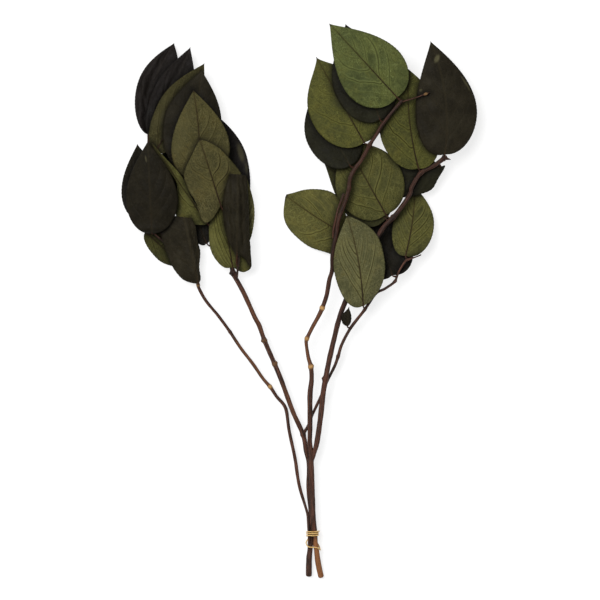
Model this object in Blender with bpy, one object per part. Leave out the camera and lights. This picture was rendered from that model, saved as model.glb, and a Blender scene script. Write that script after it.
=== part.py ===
"""A tied bunch of preserved salal: three cut branches, their leaves and the band round the cut ends.

The bunch lies on a flat surface and is seen from above: +X to the right, +Y from the cut ends
towards the leaf tips, +Z up. The origin is the middle of the bunch on that surface. Every size in
this file is a real one in millimetres, and MM turns it into Blender's metres.
"""

import math
from dataclasses import dataclass

import bmesh
import bpy
import numpy as np
from mathutils import Vector

MM = 0.001

# Leaves
BLADE_THICKNESS = 0.66
PETIOLE_RADIUS = 0.9
RIB_HEIGHT = 0.5
TIP_HALF_WIDTH = 0.35
PETIOLE_GAP = 0.35
STATIONS = (0.0, 0.03, 0.1, 0.2, 0.32, 0.45, 0.58, 0.71, 0.83, 0.93, 1.0)
ACROSS = (-1.0, -0.55, 0.0, 0.55, 1.0)

# How leaves lie on each other
LAYER_GAP = 0.55
STIFFNESS = 26.0
RELIEF_CELL = 1.0
RELIEF_REACH = 300.0
FACET_STEPS = 9

# Branches
STEPS_PER_ROW = 40
NODE_SWELLING = 0.3
NODE_HALF_LENGTH = 3.5
BEVEL_RESOLUTION = 2

# Band
BAND_RADIUS = 0.55
BAND_CLEARANCE = 0.42
BAND_POINTS_PER_TURN = 18
BAND_OVERLAP_LIFT = 1.45


@dataclass(frozen=True)
class Strand:
    """One run of a branch: rows of x, y, height and radius along its centre line, and its swollen nodes."""

    name: str
    branch: str
    route: tuple
    nodes: tuple = ()


@dataclass(frozen=True)
class Leaf:
    """One leaf, measured from above.

    base, tip: where its blade begins and ends; left, right: greatest half widths, looking from the
    base to the tip; widest: how far along the blade they lie; base_height, tip_height: of the
    midrib; arch: rise of the midrib between them; cup: rise of the margins, as a bowl; fold: the
    same, as a V; roll: rise of the left margin and fall of the right one; wave, phase: ripple of
    the margins; bow: bend of the midrib to the left; lobe: how far the blade reaches back past its
    base; skew: by how much more on the right than on the left; shoulder: higher for a blade that
    stays broad further up, and right_shoulder the same for its right half; point: 1 or more for a
    drawn-out tip, less for a blunt one; foot: where the petiole leaves the strand, if not at the
    nearest point; margins: for a curled or torn outline, rows of a place along the blade, and x and
    y there on the left margin and on the right one.
    """

    name: str
    strand: str
    base: tuple
    tip: tuple
    left: float
    right: float
    base_height: float
    tip_height: float
    widest: float = 0.38
    arch: float = 1.5
    cup: float = 0.0
    fold: float = 0.0
    roll: float = 0.0
    wave: float = 0.8
    phase: float = 0.0
    bow: float = 0.0
    lobe: float = 2.0
    skew: float = 0.0
    shoulder: float = 1.8
    right_shoulder: float = 0.0
    point: float = 1.1
    foot: tuple = ()
    margins: tuple = ()
    upper_side_up: bool = False


STRANDS = (
    Strand(
        "left_arm",
        "branch_left",
        (
            (10.2, -253.5, 2.8, 2.8),
            (10.4, -238, 3.9, 2.65),
            (11.2, -229.5, 4.6, 2.5),
            (11.8, -222, 5.1, 2.45),
            (11.7, -214, 5.4, 2.4),
            (12.6, -196, 5.5, 2.4),
            (10.2, -173, 5.6, 2.35),
            (10.4, -150.5, 6.0, 2.3),
            (7.6, -137, 6.5, 2.25),
            (4.8, -122.5, 7.1, 2.15),
            (-4.7, -100.7, 7.8, 2.15),
            (-15, -73, 8.6, 2.2),
            (-21.3, -57.4, 9.1, 2.15),
            (-30.5, -36.3, 9.6, 2.1),
            (-35.5, -22.3, 9.8, 2.15),
            (-40.2, -13.4, 9.9, 2.1),
            (-49.7, 7.7, 10.0, 2.15),
            (-57.6, 22.2, 10.0, 2.2),
            (-59.8, 28, 10.0, 2.2),
            (-64, 45, 9.9, 1.7),
            (-71.5, 66, 9.6, 1.6),
            (-79, 90, 9.3, 1.5),
            (-85.5, 113, 9.0, 1.4),
            (-92, 136, 8.6, 1.2),
        ),
        nodes=((4.8, -122.5), (-21.5, -57.5), (-31, -36.5), (-59.5, 28), (-71.5, 66)),
    ),
    Strand(
        "left_shoot",
        "branch_left",
        (
            (-56.3, 18.5, 10.3, 0.9),
            (-56, 22.5, 13.4, 1.05),
            (-55.6, 26.5, 16.4, 1.05),
            (-55.2, 31, 17.6, 1.0),
            (-54.5, 39, 17.9, 1.0),
            (-56, 50, 18.0, 1.0),
            (-60, 61, 18.2, 0.95),
            (-64, 69, 18.4, 0.9),
        ),
    ),
    Strand(
        "right_arm",
        "branch_left",
        (
            (6.4, -129, 6.8, 1.1),
            (6, -121, 7.0, 1.45),
            (9.5, -114.5, 7.0, 1.4),
            (13.5, -104, 7.2, 1.35),
            (18, -94.5, 7.6, 1.35),
            (21, -88, 8.0, 1.3),
            (28, -71.5, 8.8, 1.3),
            (34, -59.5, 9.8, 1.45),
            (37, -51, 10.6, 1.45),
            (40.4, -39.7, 11.7, 1.45),
            (47.4, -26.3, 13.2, 1.45),
            (54.5, -16.5, 14.6, 1.45),
            (61.5, -7.5, 15.6, 1.4),
            (71.5, 7, 17.0, 1.3),
            (80.4, 12, 17.8, 1.25),
            (89, 18.5, 18.4, 1.15),
            (93, 28, 18.8, 1.05),
            (98.5, 36.5, 19.2, 1.0),
            (101, 38.5, 19.3, 1.05),
            (106.5, 40.2, 19.6, 0.7),
            (111, 41.9, 19.9, 0.6),
            (113.5, 43, 20.0, 0.75),
        ),
        nodes=((61.5, -7.5), (89, 18.5), (101, 38.5)),
    ),
    Strand(
        "main",
        "branch_right",
        (
            (21.5, -254.5, 2.6, 2.6),
            (19.4, -244.5, 4.3, 2.7),
            (18.3, -238, 5.4, 2.5),
            (17.4, -229.5, 6.8, 2.45),
            (16.2, -222, 8.0, 2.4),
            (15.7, -214, 8.8, 2.4),
            (14.1, -196, 10.5, 2.4),
            (13.2, -173, 9.9, 2.4),
            (12.4, -150.5, 11.0, 2.45),
            (12, -138, 11.4, 2.2),
            (11, -130, 11.6, 2.15),
            (11.2, -118, 11.9, 2.25),
            (11.2, -87, 12.6, 2.45),
            (12.8, -71.5, 13.0, 2.2),
            (12, -60, 13.3, 2.05),
            (9.6, -51, 13.6, 1.75),
            (7.9, -39.5, 14.0, 1.6),
            (8.4, -34.5, 14.2, 1.7),
            (12.8, -25, 14.6, 1.8),
            (19, -13.5, 15.2, 1.95),
            (22.5, -6, 15.6, 2),
            (26.5, 6, 16.2, 2.05),
            (29, 20, 17.0, 2.05),
            (31.5, 29, 17.6, 2),
            (32, 43, 18.6, 2),
            (35.5, 63, 19.8, 1.95),
            (37.5, 75.5, 20.6, 1.95),
            (43, 90.5, 21.4, 1.85),
            (47, 103, 22.0, 1.8),
            (48, 112.5, 22.4, 1.75),
            (52.5, 122, 22.8, 1.8),
            (58.5, 130, 23.1, 1.7),
            (66, 144, 23.7, 1.7),
            (72, 153, 24.5, 1.65),
            (79.5, 165, 25.4, 1.6),
            (93, 181.5, 26.3, 1.4),
            (96.5, 184.5, 26.5, 1.4),
        ),
        nodes=((12, -60), (8, -34.5), (22.5, -6), (47, 103), (66, 144), (96.5, 184.5)),
    ),
    Strand(
        "twig",
        "branch_right",
        (
            (93.5, 181.5, 26.3, 0.55),
            (98, 184, 26.7, 0.65),
            (106.5, 186.5, 27.5, 0.6),
            (115, 189.5, 28.2, 0.65),
            (117.5, 190.5, 28.4, 1.0),
            (121, 192, 28.5, 0.35),
        ),
    ),
    Strand(
        "side_twig",
        "branch_right",
        (
            (32.5, 58, 19.4, 0.8),
            (33.2, 68, 20.3, 0.95),
            (36.8, 83.5, 21.2, 0.95),
            (41.2, 96, 22.2, 1.0),
            (42.5, 99.5, 22.6, 0.6),
        ),
    ),
    Strand(
        "right_fork",
        "branch_right",
        (
            (12.5, -148, 11.0, 1.6),
            (14.6, -140.5, 11.4, 2.15),
            (17.6, -129.5, 11.6, 2.45),
            (20.9, -106.5, 12.2, 2.5),
            (23.3, -85, 12.8, 2.5),
            (25.5, -71.5, 13.2, 2.4),
            (29, -53.6, 13.8, 2.45),
            (33.4, -34.6, 14.5, 2.35),
            (37.2, -18.5, 15.0, 2.35),
            (43, -1.7, 15.6, 2.4),
            (57, 29, 16.6, 2.3),
            (73, 58.5, 17.6, 2.2),
            (80, 69.5, 17.8, 2.15),
            (88, 77.5, 18.0, 2.15),
            (95.5, 87, 18.2, 2.05),
            (103, 98.5, 18.4, 2),
            (105, 105.5, 18.5, 1.95),
            (113, 118, 18.8, 1.9),
            (124.5, 124.5, 19.2, 1.9),
            (134.5, 131.5, 19.8, 2.1),
            (137, 131.3, 20.0, 1.3),
            (140.5, 130.5, 20.2, 0.3),
        ),
        nodes=((88, 77.5), (113, 118), (134.5, 131.5)),
    ),
    Strand(
        "thin",
        "branch_thin",
        (
            (10.3, -222, 8.8, 1.15),
            (10.1, -214, 9.1, 1.2),
            (9.7, -205, 8.9, 1.2),
            (9, -196, 7.6, 1.25),
            (6.6, -187.5, 6.6, 1.3),
            (1.2, -168.9, 5.6, 1.55),
            (-2.8, -143.5, 5.2, 1.6),
            (-8, -119, 5.2, 1.55),
            (-11.2, -98.5, 5.4, 1.6),
            (-19.5, -87.5, 5.6, 1.55),
            (-25.5, -78.5, 5.8, 1.6),
            (-31.7, -71.4, 6.0, 1.55),
            (-41, -58, 6.4, 1.55),
            (-52.5, -43, 7.0, 1.5),
            (-62.5, -28, 7.6, 1.45),
            (-73, -13.5, 8.2, 1.4),
            (-84.5, 0.5, 8.9, 1.45),
            (-91, 12, 9.4, 1.5),
            (-92, 16, 9.6, 1.5),
            (-96, 27, 9.5, 1.1),
            (-105.5, 39, 9.3, 1.1),
            (-121, 53, 9.1, 1.1),
            (-127, 68, 9.0, 1.05),
            (-131, 88, 8.8, 1.0),
            (-133.5, 110, 8.7, 1.0),
            (-136, 130, 8.6, 1.0),
            (-137.5, 148, 8.6, 0.9),
        ),
        nodes=((-25.5, -78.5), (-62.5, -28), (-92, 16), (-121, 53)),
    ),
    Strand(
        "thin_side",
        "branch_thin",
        (
            (-117.5, 50, 9.2, 0.6),
            (-123.5, 55, 9.2, 0.8),
            (-130, 60.5, 9.1, 0.85),
            (-135.5, 65.5, 9.0, 0.85),
            (-139, 69.5, 9.0, 1.1),
        ),
    ),
)

# From the lowest to the highest, as they cover each other from above. A name alone is a strand.
LAYERS = (
    Leaf(
        "leaf_left_10", "left_arm", (-56, 80), (-77, 174), 22, 20.7, 6.5, 0.5,
        widest=0.5, arch=-1.0, shoulder=2.0, upper_side_up=True, wave=0.6,
    ),
    Leaf(
        "leaf_left_09", "left_arm", (-50, 51), (-47, 114), 7, 9, 6.0, 2.0,
        widest=0.45, arch=-0.5, wave=0.5, foot=(-64, 45),
    ),
    Leaf(
        "leaf_left_16", "left_arm", (-84, 53.4), (-126.8, 152.3), 13, 13, 5.0, 2.0,
        widest=0.35, arch=-0.5, upper_side_up=True, foot=(-68, 55), wave=0.5, lobe=4.0,
        skew=-3.0, shoulder=2.2,
    ),
    Leaf(
        "leaf_left_12", "thin_side", (-140, 76), (-148, 145), 20, 20, 5.2, -1.0,
        widest=0.35, arch=-1.0, upper_side_up=True, wave=0.6, foot=(-138, 68), lobe=6.0,
    ),
    Leaf(
        "leaf_left_13", "thin_side", (-140, 64), (-104, 31), 16, 11.3, 6.0, -1.0,
        widest=0.52, arch=-0.5, wave=0.5, foot=(-135.5, 65.5),
    ),
    "left_arm",
    "thin",
    "thin_side",
    Leaf(
        "leaf_left_01", "thin", (-138, 154), (-114, 238), 14, 22, 8.5, 4.0,
        widest=0.45, arch=1.0, fold=5.0, bow=8, shoulder=2.2, right_shoulder=2.6, upper_side_up=True,
    ),
    Leaf(
        "leaf_left_02", "thin", (-134, 151), (-99, 234), 16, 22, 9.5, 8.0,
        widest=0.45, arch=1.0, fold=2.0, upper_side_up=True,
    ),
    Leaf(
        "leaf_left_03", "thin", (-130.5, 138), (-86, 219), 19.5, 18.5, 10.0, 10.0,
        widest=0.48, cup=2.0, lobe=4.0,
    ),
    Leaf(
        "leaf_left_04", "left_arm", (-101, 119), (-88, 212), 29, 25, 10.5, 12.0,
        widest=0.45, cup=-3.0, shoulder=2.0, upper_side_up=True,
    ),
    Leaf(
        "leaf_left_05", "left_arm", (-91, 116), (-96, 194), 26, 28, 12.0, 16.0,
        widest=0.33, cup=-3.0, bow=-2.5, lobe=9.0,
    ),
    Leaf(
        "leaf_left_15", "left_arm", (-83.1, 71.8), (-134.1, 145.8), 18, 8, 10.5, 13.0,
        widest=0.45, roll=-2.0, foot=(-71.5, 66),
        margins=(
            (0.04, -88.1, 70.4, -83.1, 74.1),
            (0.1, -101, 71.8, -85.8, 75.9),
            (0.2, -111.2, 76.8, -89.5, 83.3),
            (0.3, -113.2, 86.9, -94.4, 90.6),
            (0.4, -112.4, 97.5, -98.3, 97.5),
            (0.5, -110.7, 106.3, -101.5, 105.8),
            (0.62, -115.3, 115.9, -107.5, 116.4),
            (0.75, -123.1, 125.6, -117.1, 127.4),
            (0.88, -129.5, 135.2, -126.3, 137.1),
            (1, -134.3, 145.5, -133.8, 145.9),
        ),
    ),
    Leaf(
        "leaf_left_08", "left_arm", (-60, 31.5), (-72, 103), 18, 20.5, 12.6, 14.0,
        widest=0.33, cup=-2.0, roll=2.5, foot=(-59.5, 28),
        margins=(
            (0.03, -66.1, 30.8, -53.2, 27.6),
            (0.08, -73, 35.4, -46.3, 28.2),
            (0.14, -78, 42.3, -43.1, 31.3),
            (0.22, -81, 50.6, -43.1, 40),
            (0.32, -81.7, 58.9, -43.5, 51.1),
            (0.45, -81.7, 68.5, -45.4, 63),
            (0.58, -80.3, 77.7, -48.1, 75),
            (0.71, -78.5, 86, -52.7, 86),
            (0.83, -76.6, 93.4, -59.2, 94.3),
            (0.93, -74.3, 98.9, -65.6, 100.3),
            (1, -72.5, 102.6, -71.6, 102.9),
        ),
    ),
    "left_shoot",
    Leaf(
        "leaf_left_06", "left_shoot", (-70.7, 87.9), (-90, 149), 24, 26, 17.0, 20.0,
        widest=0.5, cup=-3.0, foot=(-64, 69),
        margins=(
            (0.03, -76.4, 79.1, -68.4, 87.9),
            (0.08, -84.9, 72.2, -63.3, 90.2),
            (0.15, -92.3, 86.9, -57.8, 94.3),
            (0.25, -98.3, 98.4, -53.6, 102.1),
            (0.35, -101.9, 106.3, -51.8, 109.9),
            (0.5, -104.7, 114.5, -52.7, 118.7),
            (0.65, -103.3, 121.9, -61, 129.3),
            (0.8, -98.7, 131.6, -72, 140.8),
            (0.92, -94.1, 141.2, -82.6, 146.7),
            (1, -90.3, 148.6, -89.6, 148.9),
        ),
    ),
    Leaf(
        "leaf_left_14", "thin", (-91.8, 17), (-104.7, 77.5), 21.5, 12.5, 12.0, 15.0,
        widest=0.55, fold=-5.0, point=0.6, upper_side_up=True,
        margins=(
            (0.03, -94.6, 16.6, -90, 18.4),
            (0.1, -102.4, 18.4, -89.2, 22.1),
            (0.2, -109.8, 23.9, -90.2, 29),
            (0.32, -115.7, 32.2, -90, 37.3),
            (0.45, -119.9, 42.8, -89.5, 46.5),
            (0.58, -123.6, 52.9, -91.4, 54.3),
            (0.71, -125.4, 62.1, -92.9, 62.1),
            (0.83, -123.6, 70.4, -93.7, 68.5),
            (1, -115.7, 79.1, -98.3, 77),
        ),
    ),
    Leaf(
        "leaf_left_11", "thin_side", (-134.1, 62.6), (-138, 147), 23, 25.5, 11.5, 12.0,
        widest=0.38, cup=-3.0, upper_side_up=True,
    ),
    Leaf(
        "leaf_left_07", "left_shoot", (-55.9, 41.9), (-55, 116.8), 13.5, 12.5, 20.0, 23.0,
        widest=0.55, fold=-5.0, point=0.5, upper_side_up=True, foot=(-55.5, 33),
        margins=(
            (0.03, -57.8, 44.2, -52.3, 41.9),
            (0.08, -60.1, 47.8, -48.1, 38.6),
            (0.14, -62.8, 52.9, -44.9, 33.1),
            (0.2, -64.7, 58, -42.6, 31.7),
            (0.3, -67, 65.3, -43.4, 47.4),
            (0.5, -69, 82.3, -44.6, 73.1),
            (0.7, -68.6, 93.8, -45.1, 87.9),
            (0.85, -66.5, 105.3, -46, 102.6),
            (1, -62.4, 117, -46.9, 115.6),
        ),
    ),
    Leaf(
        "leaf_right_11", "right_arm", (87, 24), (66, 87), 24, 26.8, 17.0, -0.5,
        widest=0.38, arch=-1.0, lobe=8.6, upper_side_up=True,
    ),
    Leaf(
        "leaf_right_10", "right_arm", (99, 42), (108, 106), 17.5, 20.5, 19.0, 5.0,
        widest=0.42, bow=-2, cup=-2.0, lobe=4.0, right_shoulder=2.2,
    ),
    Leaf(
        "leaf_right_05", "right_fork", (81, 76), (24, 128), 22, 20, 13.5, -1.0,
        widest=0.3, cup=-2.0, point=1.25,
    ),
    Leaf(
        "leaf_right_13", "right_fork", (55, 56), (-10.9, 97.7), 27, 26, 11.5, -1.0,
        widest=0.5, bow=2, cup=-3.0, point=0.65,
        margins=(
            (0.04, 54.5, 48.3, 52.6, 62.1),
            (0.12, 48.5, 41.9, 46.2, 75),
            (0.25, 37.4, 41.4, 38.8, 93.4),
            (0.4, 25, 45.5, 28.2, 102),
            (0.55, 12.1, 49.7, 15.8, 103.7),
            (0.7, 0.2, 58.1, 4.8, 102.8),
            (0.82, -8.6, 67.6, -2.6, 100.7),
            (0.92, -13.1, 80.5, -7.2, 99.5),
            (1, -11.5, 96.6, -10.5, 98.7),
        ),
    ),
    Leaf(
        "leaf_right_09", "right_fork", (131, 124), (76, 101), 17, 19, 15.0, 3.0,
        widest=0.42, cup=-2.0, upper_side_up=True,
        margins=(
            (0.03, 135, 125.1, 125.3, 129.3),
            (0.1, 133.1, 119.1, 119.8, 132),
            (0.2, 129, 112.2, 112.4, 132.9),
            (0.32, 124.4, 104.1, 104.1, 131.6),
            (0.45, 116.1, 99.5, 95.9, 128.8),
            (0.58, 106.9, 97.1, 88.5, 124.2),
            (0.71, 97.7, 95.7, 83, 118.7),
            (0.83, 89, 95.7, 78.8, 112.7),
            (0.93, 81.6, 97.5, 76.1, 106.3),
            (1, 76.2, 100.4, 75.6, 101.8),
        ),
    ),
    Leaf(
        "leaf_right_06", "right_fork", (81, 80), (42.5, 148.5), 31, 32.5, 15.5, 10.0,
        widest=0.42, cup=-3.0, lobe=5.5, right_shoulder=2.2,
    ),
    Leaf(
        "leaf_right_04", "main", (48, 125), (13, 188), 24.5, 25, 20.0, -2.0,
        widest=0.45, cup=-2.0, shoulder=2.2, point=1.0, upper_side_up=True,
    ),
    Leaf(
        "leaf_right_03", "main", (61, 146), (17, 225), 32.5, 29.5, 21.5, 8.0,
        widest=0.4, cup=-3.0, lobe=5.5, skew=2.0, shoulder=2.5, point=1.5,
    ),
    "right_arm",
    "right_fork",
    Leaf(
        "leaf_right_07", "right_fork", (111, 122), (102, 213.5), 28.5, 28, 20.5, 18.0,
        widest=0.42, bow=4, cup=-2.0, lobe=4.2, skew=-0.7, shoulder=2.2,
        right_shoulder=2.6,
    ),
    Leaf(
        "leaf_right_02", "main", (75.5, 167), (44, 255), 31, 26, 22.5, 14.0,
        widest=0.42, cup=-3.0, upper_side_up=True, lobe=5.0,
    ),
    "side_twig",
    "main",
    Leaf(
        "leaf_right_14", "right_arm", (45.5, -22.5), (47, -5), 6.2, 3.5, 14.0, 17.0,
        widest=0.38, fold=-3.0, wave=0.2, lobe=0.5, shoulder=2.2, point=1.6, upper_side_up=True,
    ),
    Leaf(
        "leaf_right_12", "right_arm", (60, -4), (45, 79), 23.5, 24, 17.5, 25.0,
        widest=0.45, bow=-3, cup=-4.0, arch=3.0, lobe=1.0, skew=-6.2, right_shoulder=3.6,
    ),
    Leaf(
        "leaf_right_08", "right_fork", (135, 135), (122, 239), 29, 28.3, 21.0, 22.0,
        widest=0.37, bow=-7, cup=-4.0, lobe=4.8, skew=0.8, upper_side_up=True, arch=2.0,
    ),
    "twig",
    Leaf(
        "leaf_right_01", "main", (91, 187.5), (29, 255), 31.5, 30, 27.0, 26.0,
        widest=0.34, cup=-3.0, arch=4.0, lobe=5.0, point=1.15,
    ),
)

# Turns of the band as rows of turns wound, place along the bunch and height over the other turns.
# A turn begins on the right, goes over the top to the left, and comes back underneath.
BAND_ROUTE = (
    (0.0, -211.5, 0.0),
    (1.0, -213.2, 0.0),
    (2.0, -214.9, 0.0),
    (2.7, -216.2, 0.0),
    (3.0, -229.0, 0.0),
    (3.5, -223.5, 0.0),
    (3.58, -222.0, BAND_OVERLAP_LIFT),
    (3.9, -211.6, BAND_OVERLAP_LIFT),
    (3.94, -211.5, BAND_OVERLAP_LIFT),
    (4.0, -211.5, 0.0),
)


def clear_scene():
    for item in list(bpy.data.objects):
        bpy.data.objects.remove(item, do_unlink=True)


def new_collection(name):
    collection = bpy.data.collections.new(name)
    bpy.context.scene.collection.children.link(collection)
    return collection


def material(name, colour, roughness):
    """A plain Principled BSDF."""
    made = bpy.data.materials.new(name)
    made.use_nodes = True
    shader = made.node_tree.nodes["Principled BSDF"]
    shader.inputs["Base Color"].default_value = (*colour, 1.0)
    shader.inputs["Roughness"].default_value = roughness
    return made


def smooth_route(rows, count):
    """Many points on the Catmull-Rom curve through the rows, with the radius carried along."""
    rows = np.asarray(rows, float)
    ends = np.vstack([2 * rows[0] - rows[1], rows, 2 * rows[-1] - rows[-2]])
    u = np.linspace(0, 1, count, endpoint=False)[:, None]
    spans = []
    for a, b, c, d in zip(ends, ends[1:], ends[2:], ends[3:]):
        spans.append(
            0.5 * (2 * b + (c - a) * u + (2 * a - 5 * b + 4 * c - d) * u**2 + (3 * b - a - 3 * c + d) * u**3)
        )
    return np.vstack([*spans, rows[-1:]])


def path_lengths(points):
    steps = np.linalg.norm(np.diff(points[:, :3], axis=0), axis=1)
    return np.concatenate([[0.0], np.cumsum(steps)])


def swollen_route(strand):
    """The strand's smooth route, thickened at its nodes, with the places of the nodes along it."""
    dense = smooth_route(strand.route, STEPS_PER_ROW)
    along = path_lengths(dense)
    swollen = [along[np.argmin(np.hypot(*(dense[:, :2] - node).T))] for node in strand.nodes]
    for s in swollen:
        dense[:, 3] *= 1 + NODE_SWELLING * np.exp(-(((along - s) / (0.5 * NODE_HALF_LENGTH)) ** 2))
    return dense, along, swollen


def strand_rings(strand):
    """The tube's rings: one at each row of the route, and three at each swollen node."""
    dense, along, swollen = swollen_route(strand)
    stops = [s + d for s in swollen for d in (-NODE_HALF_LENGTH, 0, NODE_HALF_LENGTH)]
    stops = [s for s in stops if 0 < s < along[-1]]
    stops += [s for s in along[STEPS_PER_ROW:-1:STEPS_PER_ROW] if all(abs(s - t) > 2 for t in stops)]
    at = np.array(sorted({0.0, along[-1], *stops}))
    return np.column_stack([np.interp(at, along, dense[:, k]) for k in range(4)])


def tube(name, rings, collection, cyclic=False):
    """A round tube through the rings as a closed mesh object."""
    curve = bpy.data.curves.new(name, "CURVE")
    curve.dimensions = "3D"
    curve.bevel_depth = MM
    curve.bevel_resolution = BEVEL_RESOLUTION
    curve.use_fill_caps = not cyclic
    spline = curve.splines.new("POLY")
    spline.points.add(len(rings) - 1)
    spline.use_cyclic_u = cyclic
    for point, (x, y, z, radius) in zip(spline.points, rings):
        point.co = (x * MM, y * MM, z * MM, 1.0)
        point.radius = radius
    guide = bpy.data.objects.new(name + "_route", curve)
    collection.objects.link(guide)
    bpy.context.view_layer.update()
    graph = bpy.context.evaluated_depsgraph_get()
    mesh = bpy.data.meshes.new_from_object(guide.evaluated_get(graph))
    bpy.data.objects.remove(guide, do_unlink=True)
    welded = bmesh.new()
    welded.from_mesh(mesh)
    bmesh.ops.remove_doubles(welded, verts=welded.verts, dist=1e-6)
    bmesh.ops.recalc_face_normals(welded, faces=welded.faces)
    welded.to_mesh(mesh)
    welded.free()
    made = bpy.data.objects.new(name, mesh)
    collection.objects.link(made)
    return made


def join(name, pieces, helpers):
    """One solid from several that cross: the first piece keeps its object, the rest are used up."""
    first, *others = pieces
    for other in others:
        helpers.objects.link(other)
        for owner in list(other.users_collection):
            if owner is not helpers:
                owner.objects.unlink(other)
    union = first.modifiers.new("Join", "BOOLEAN")
    union.operation = "UNION"
    union.operand_type = "COLLECTION"
    union.collection = helpers
    union.solver = "EXACT"
    bpy.context.view_layer.update()
    graph = bpy.context.evaluated_depsgraph_get()
    joined = bpy.data.meshes.new_from_object(first.evaluated_get(graph))
    first.modifiers.clear()
    first.data = joined
    first.name = name
    for other in others:
        bpy.data.objects.remove(other, do_unlink=True)
    return first


def unit(vector):
    return vector / np.linalg.norm(vector)


def outline(leaf, t, s):
    """Half width of the blade, 1 at its widest: a quarter ellipse, then a curve drawn in to the tip."""
    near = np.sqrt(np.clip(1 - (1 - t / leaf.widest) ** 2, 0, 1))
    far = np.clip((t - leaf.widest) / (1 - leaf.widest), 0, 1)
    shoulder = np.where(s < 0, leaf.right_shoulder or leaf.shoulder, leaf.shoulder)
    return np.where(t < leaf.widest, near, (1 - far**shoulder) ** leaf.point)


def spline_weights(knots, places):
    """The matrix that turns values at knots into a natural cubic spline's values at places."""
    count, steps = len(knots), np.diff(knots)
    inner = np.arange(1, count - 1)
    left, right = np.eye(count), np.zeros((count, count))
    left[inner, inner - 1] = steps[:-1]
    left[inner, inner] = 2 * (steps[:-1] + steps[1:])
    left[inner, inner + 1] = steps[1:]
    right[inner, inner - 1] = 6 / steps[:-1]
    right[inner, inner] = -6 / steps[:-1] - 6 / steps[1:]
    right[inner, inner + 1] = 6 / steps[1:]
    bend = np.linalg.solve(left, right)
    k = np.clip(np.searchsorted(knots, places, side="right") - 1, 0, count - 2)
    width, ahead, behind = steps[k], knots[k + 1] - places, places - knots[k]
    eye = np.eye(count)
    weights = eye[k] * (ahead / width)[:, None] + eye[k + 1] * (behind / width)[:, None]
    weights += bend[k] * ((ahead**3 / width - ahead * width) / 6)[:, None]
    weights += bend[k + 1] * ((behind**3 / width - behind * width) / 6)[:, None]
    return weights


def blade_surface(leaf):
    """The middle surface of the blade as it grew: a grid of points, stations by places across."""
    t, s = np.meshgrid(STATIONS, ACROSS, indexing="ij")
    base, tip = np.array(leaf.base, float), np.array(leaf.tip, float)
    along = unit(tip - base)
    leftward = np.array([-along[1], along[0]])
    shape = outline(leaf, t, s)
    midrib = base + (tip - base) * t[..., None] + leftward * (leaf.bow * 4 * t * (1 - t))[..., None]
    if leaf.margins:
        start = [0.0, *(base + leftward * PETIOLE_RADIUS), *(base - leftward * PETIOLE_RADIUS)]
        rows = np.vstack([start, leaf.margins])
        edges = spline_weights(rows[:, 0], np.array(STATIONS)) @ rows[:, 1:]
        margin = np.where(s[..., None] > 0, edges[:, None, :2], edges[:, None, 2:])
        plan = midrib + np.abs(s)[..., None] * (margin - midrib)
    else:
        narrowest = PETIOLE_RADIUS + (TIP_HALF_WIDTH - PETIOLE_RADIUS) * t
        half = np.maximum(shape * np.where(s > 0, leaf.left, leaf.right), narrowest)
        back = (leaf.lobe * np.abs(s) - leaf.skew * s) * (1 - t) ** 4 * shape
        plan = midrib + leftward * (s * half)[..., None] - along * back[..., None]
    height = leaf.base_height + (leaf.tip_height - leaf.base_height) * t + leaf.arch * 4 * t * (1 - t)
    height = height + shape * (leaf.cup * s**2 + leaf.fold * np.abs(s) + leaf.roll * s)
    height = height + leaf.wave * shape * s**2 * np.sin(2 * math.pi * (1.6 * t + leaf.phase + 0.2 * s))
    return np.dstack([plan, height])


def half_thickness(leaf):
    """Distances from the middle surface to the upper and to the lower face."""
    t, s = np.meshgrid(STATIONS, ACROSS, indexing="ij")
    plain = np.full(t.shape, BLADE_THICKNESS / 2)
    rib = plain + RIB_HEIGHT * (s == 0) * np.sqrt(1 - 0.9 * t)
    return (plain, rib) if leaf.upper_side_up else (rib, plain)


def faces_of(surface, up, down):
    """The surface's upper and lower faces, along its normals."""
    normal = np.cross(np.gradient(surface, axis=0), np.gradient(surface, axis=1))
    normal /= np.linalg.norm(normal, axis=2, keepdims=True)
    return surface + normal * up[..., None], surface - normal * down[..., None]


def facet_points(grid):
    """Points spread over the two triangles of each cell: cell rows, cell columns, points, xyz."""
    u, v = np.meshgrid(np.linspace(0, 1, FACET_STEPS), np.linspace(0, 1, FACET_STEPS), indexing="ij")
    u, v = u.reshape(-1, 1), v.reshape(-1, 1)
    a, b = grid[:-1, :-1, None], grid[1:, :-1, None]
    c, d = grid[1:, 1:, None], grid[:-1, 1:, None]
    first = a + u * (b - a) + v * (c - b)
    second = a + v * (d - a) + u * (c - d)
    return np.where(u > v, first, second)


class Relief:
    """A map of how high what has been laid down reaches, or how low what hangs above comes."""

    def __init__(self, level, above=True):
        size = int(2 * RELIEF_REACH / RELIEF_CELL)
        self.above = above
        self.pick = np.maximum if above else np.minimum
        self.map = np.full((size, size), float(level))
        self.wide = self.map

    def cells(self, points):
        cells = np.floor((points[..., :2] + RELIEF_REACH) / RELIEF_CELL).astype(int)
        return cells[..., 0], cells[..., 1]

    def add(self, points):
        """Lays points down, and spreads each cell to its neighbours as a margin."""
        self.pick.at(self.map, self.cells(points), points[..., 2])
        wide = self.map
        for axis in (0, 1):
            wide = self.pick(wide, self.pick(np.roll(wide, 1, axis), np.roll(wide, -1, axis)))
        self.wide = wide

    def at(self, points):
        return self.wide[self.cells(points)]


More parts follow.
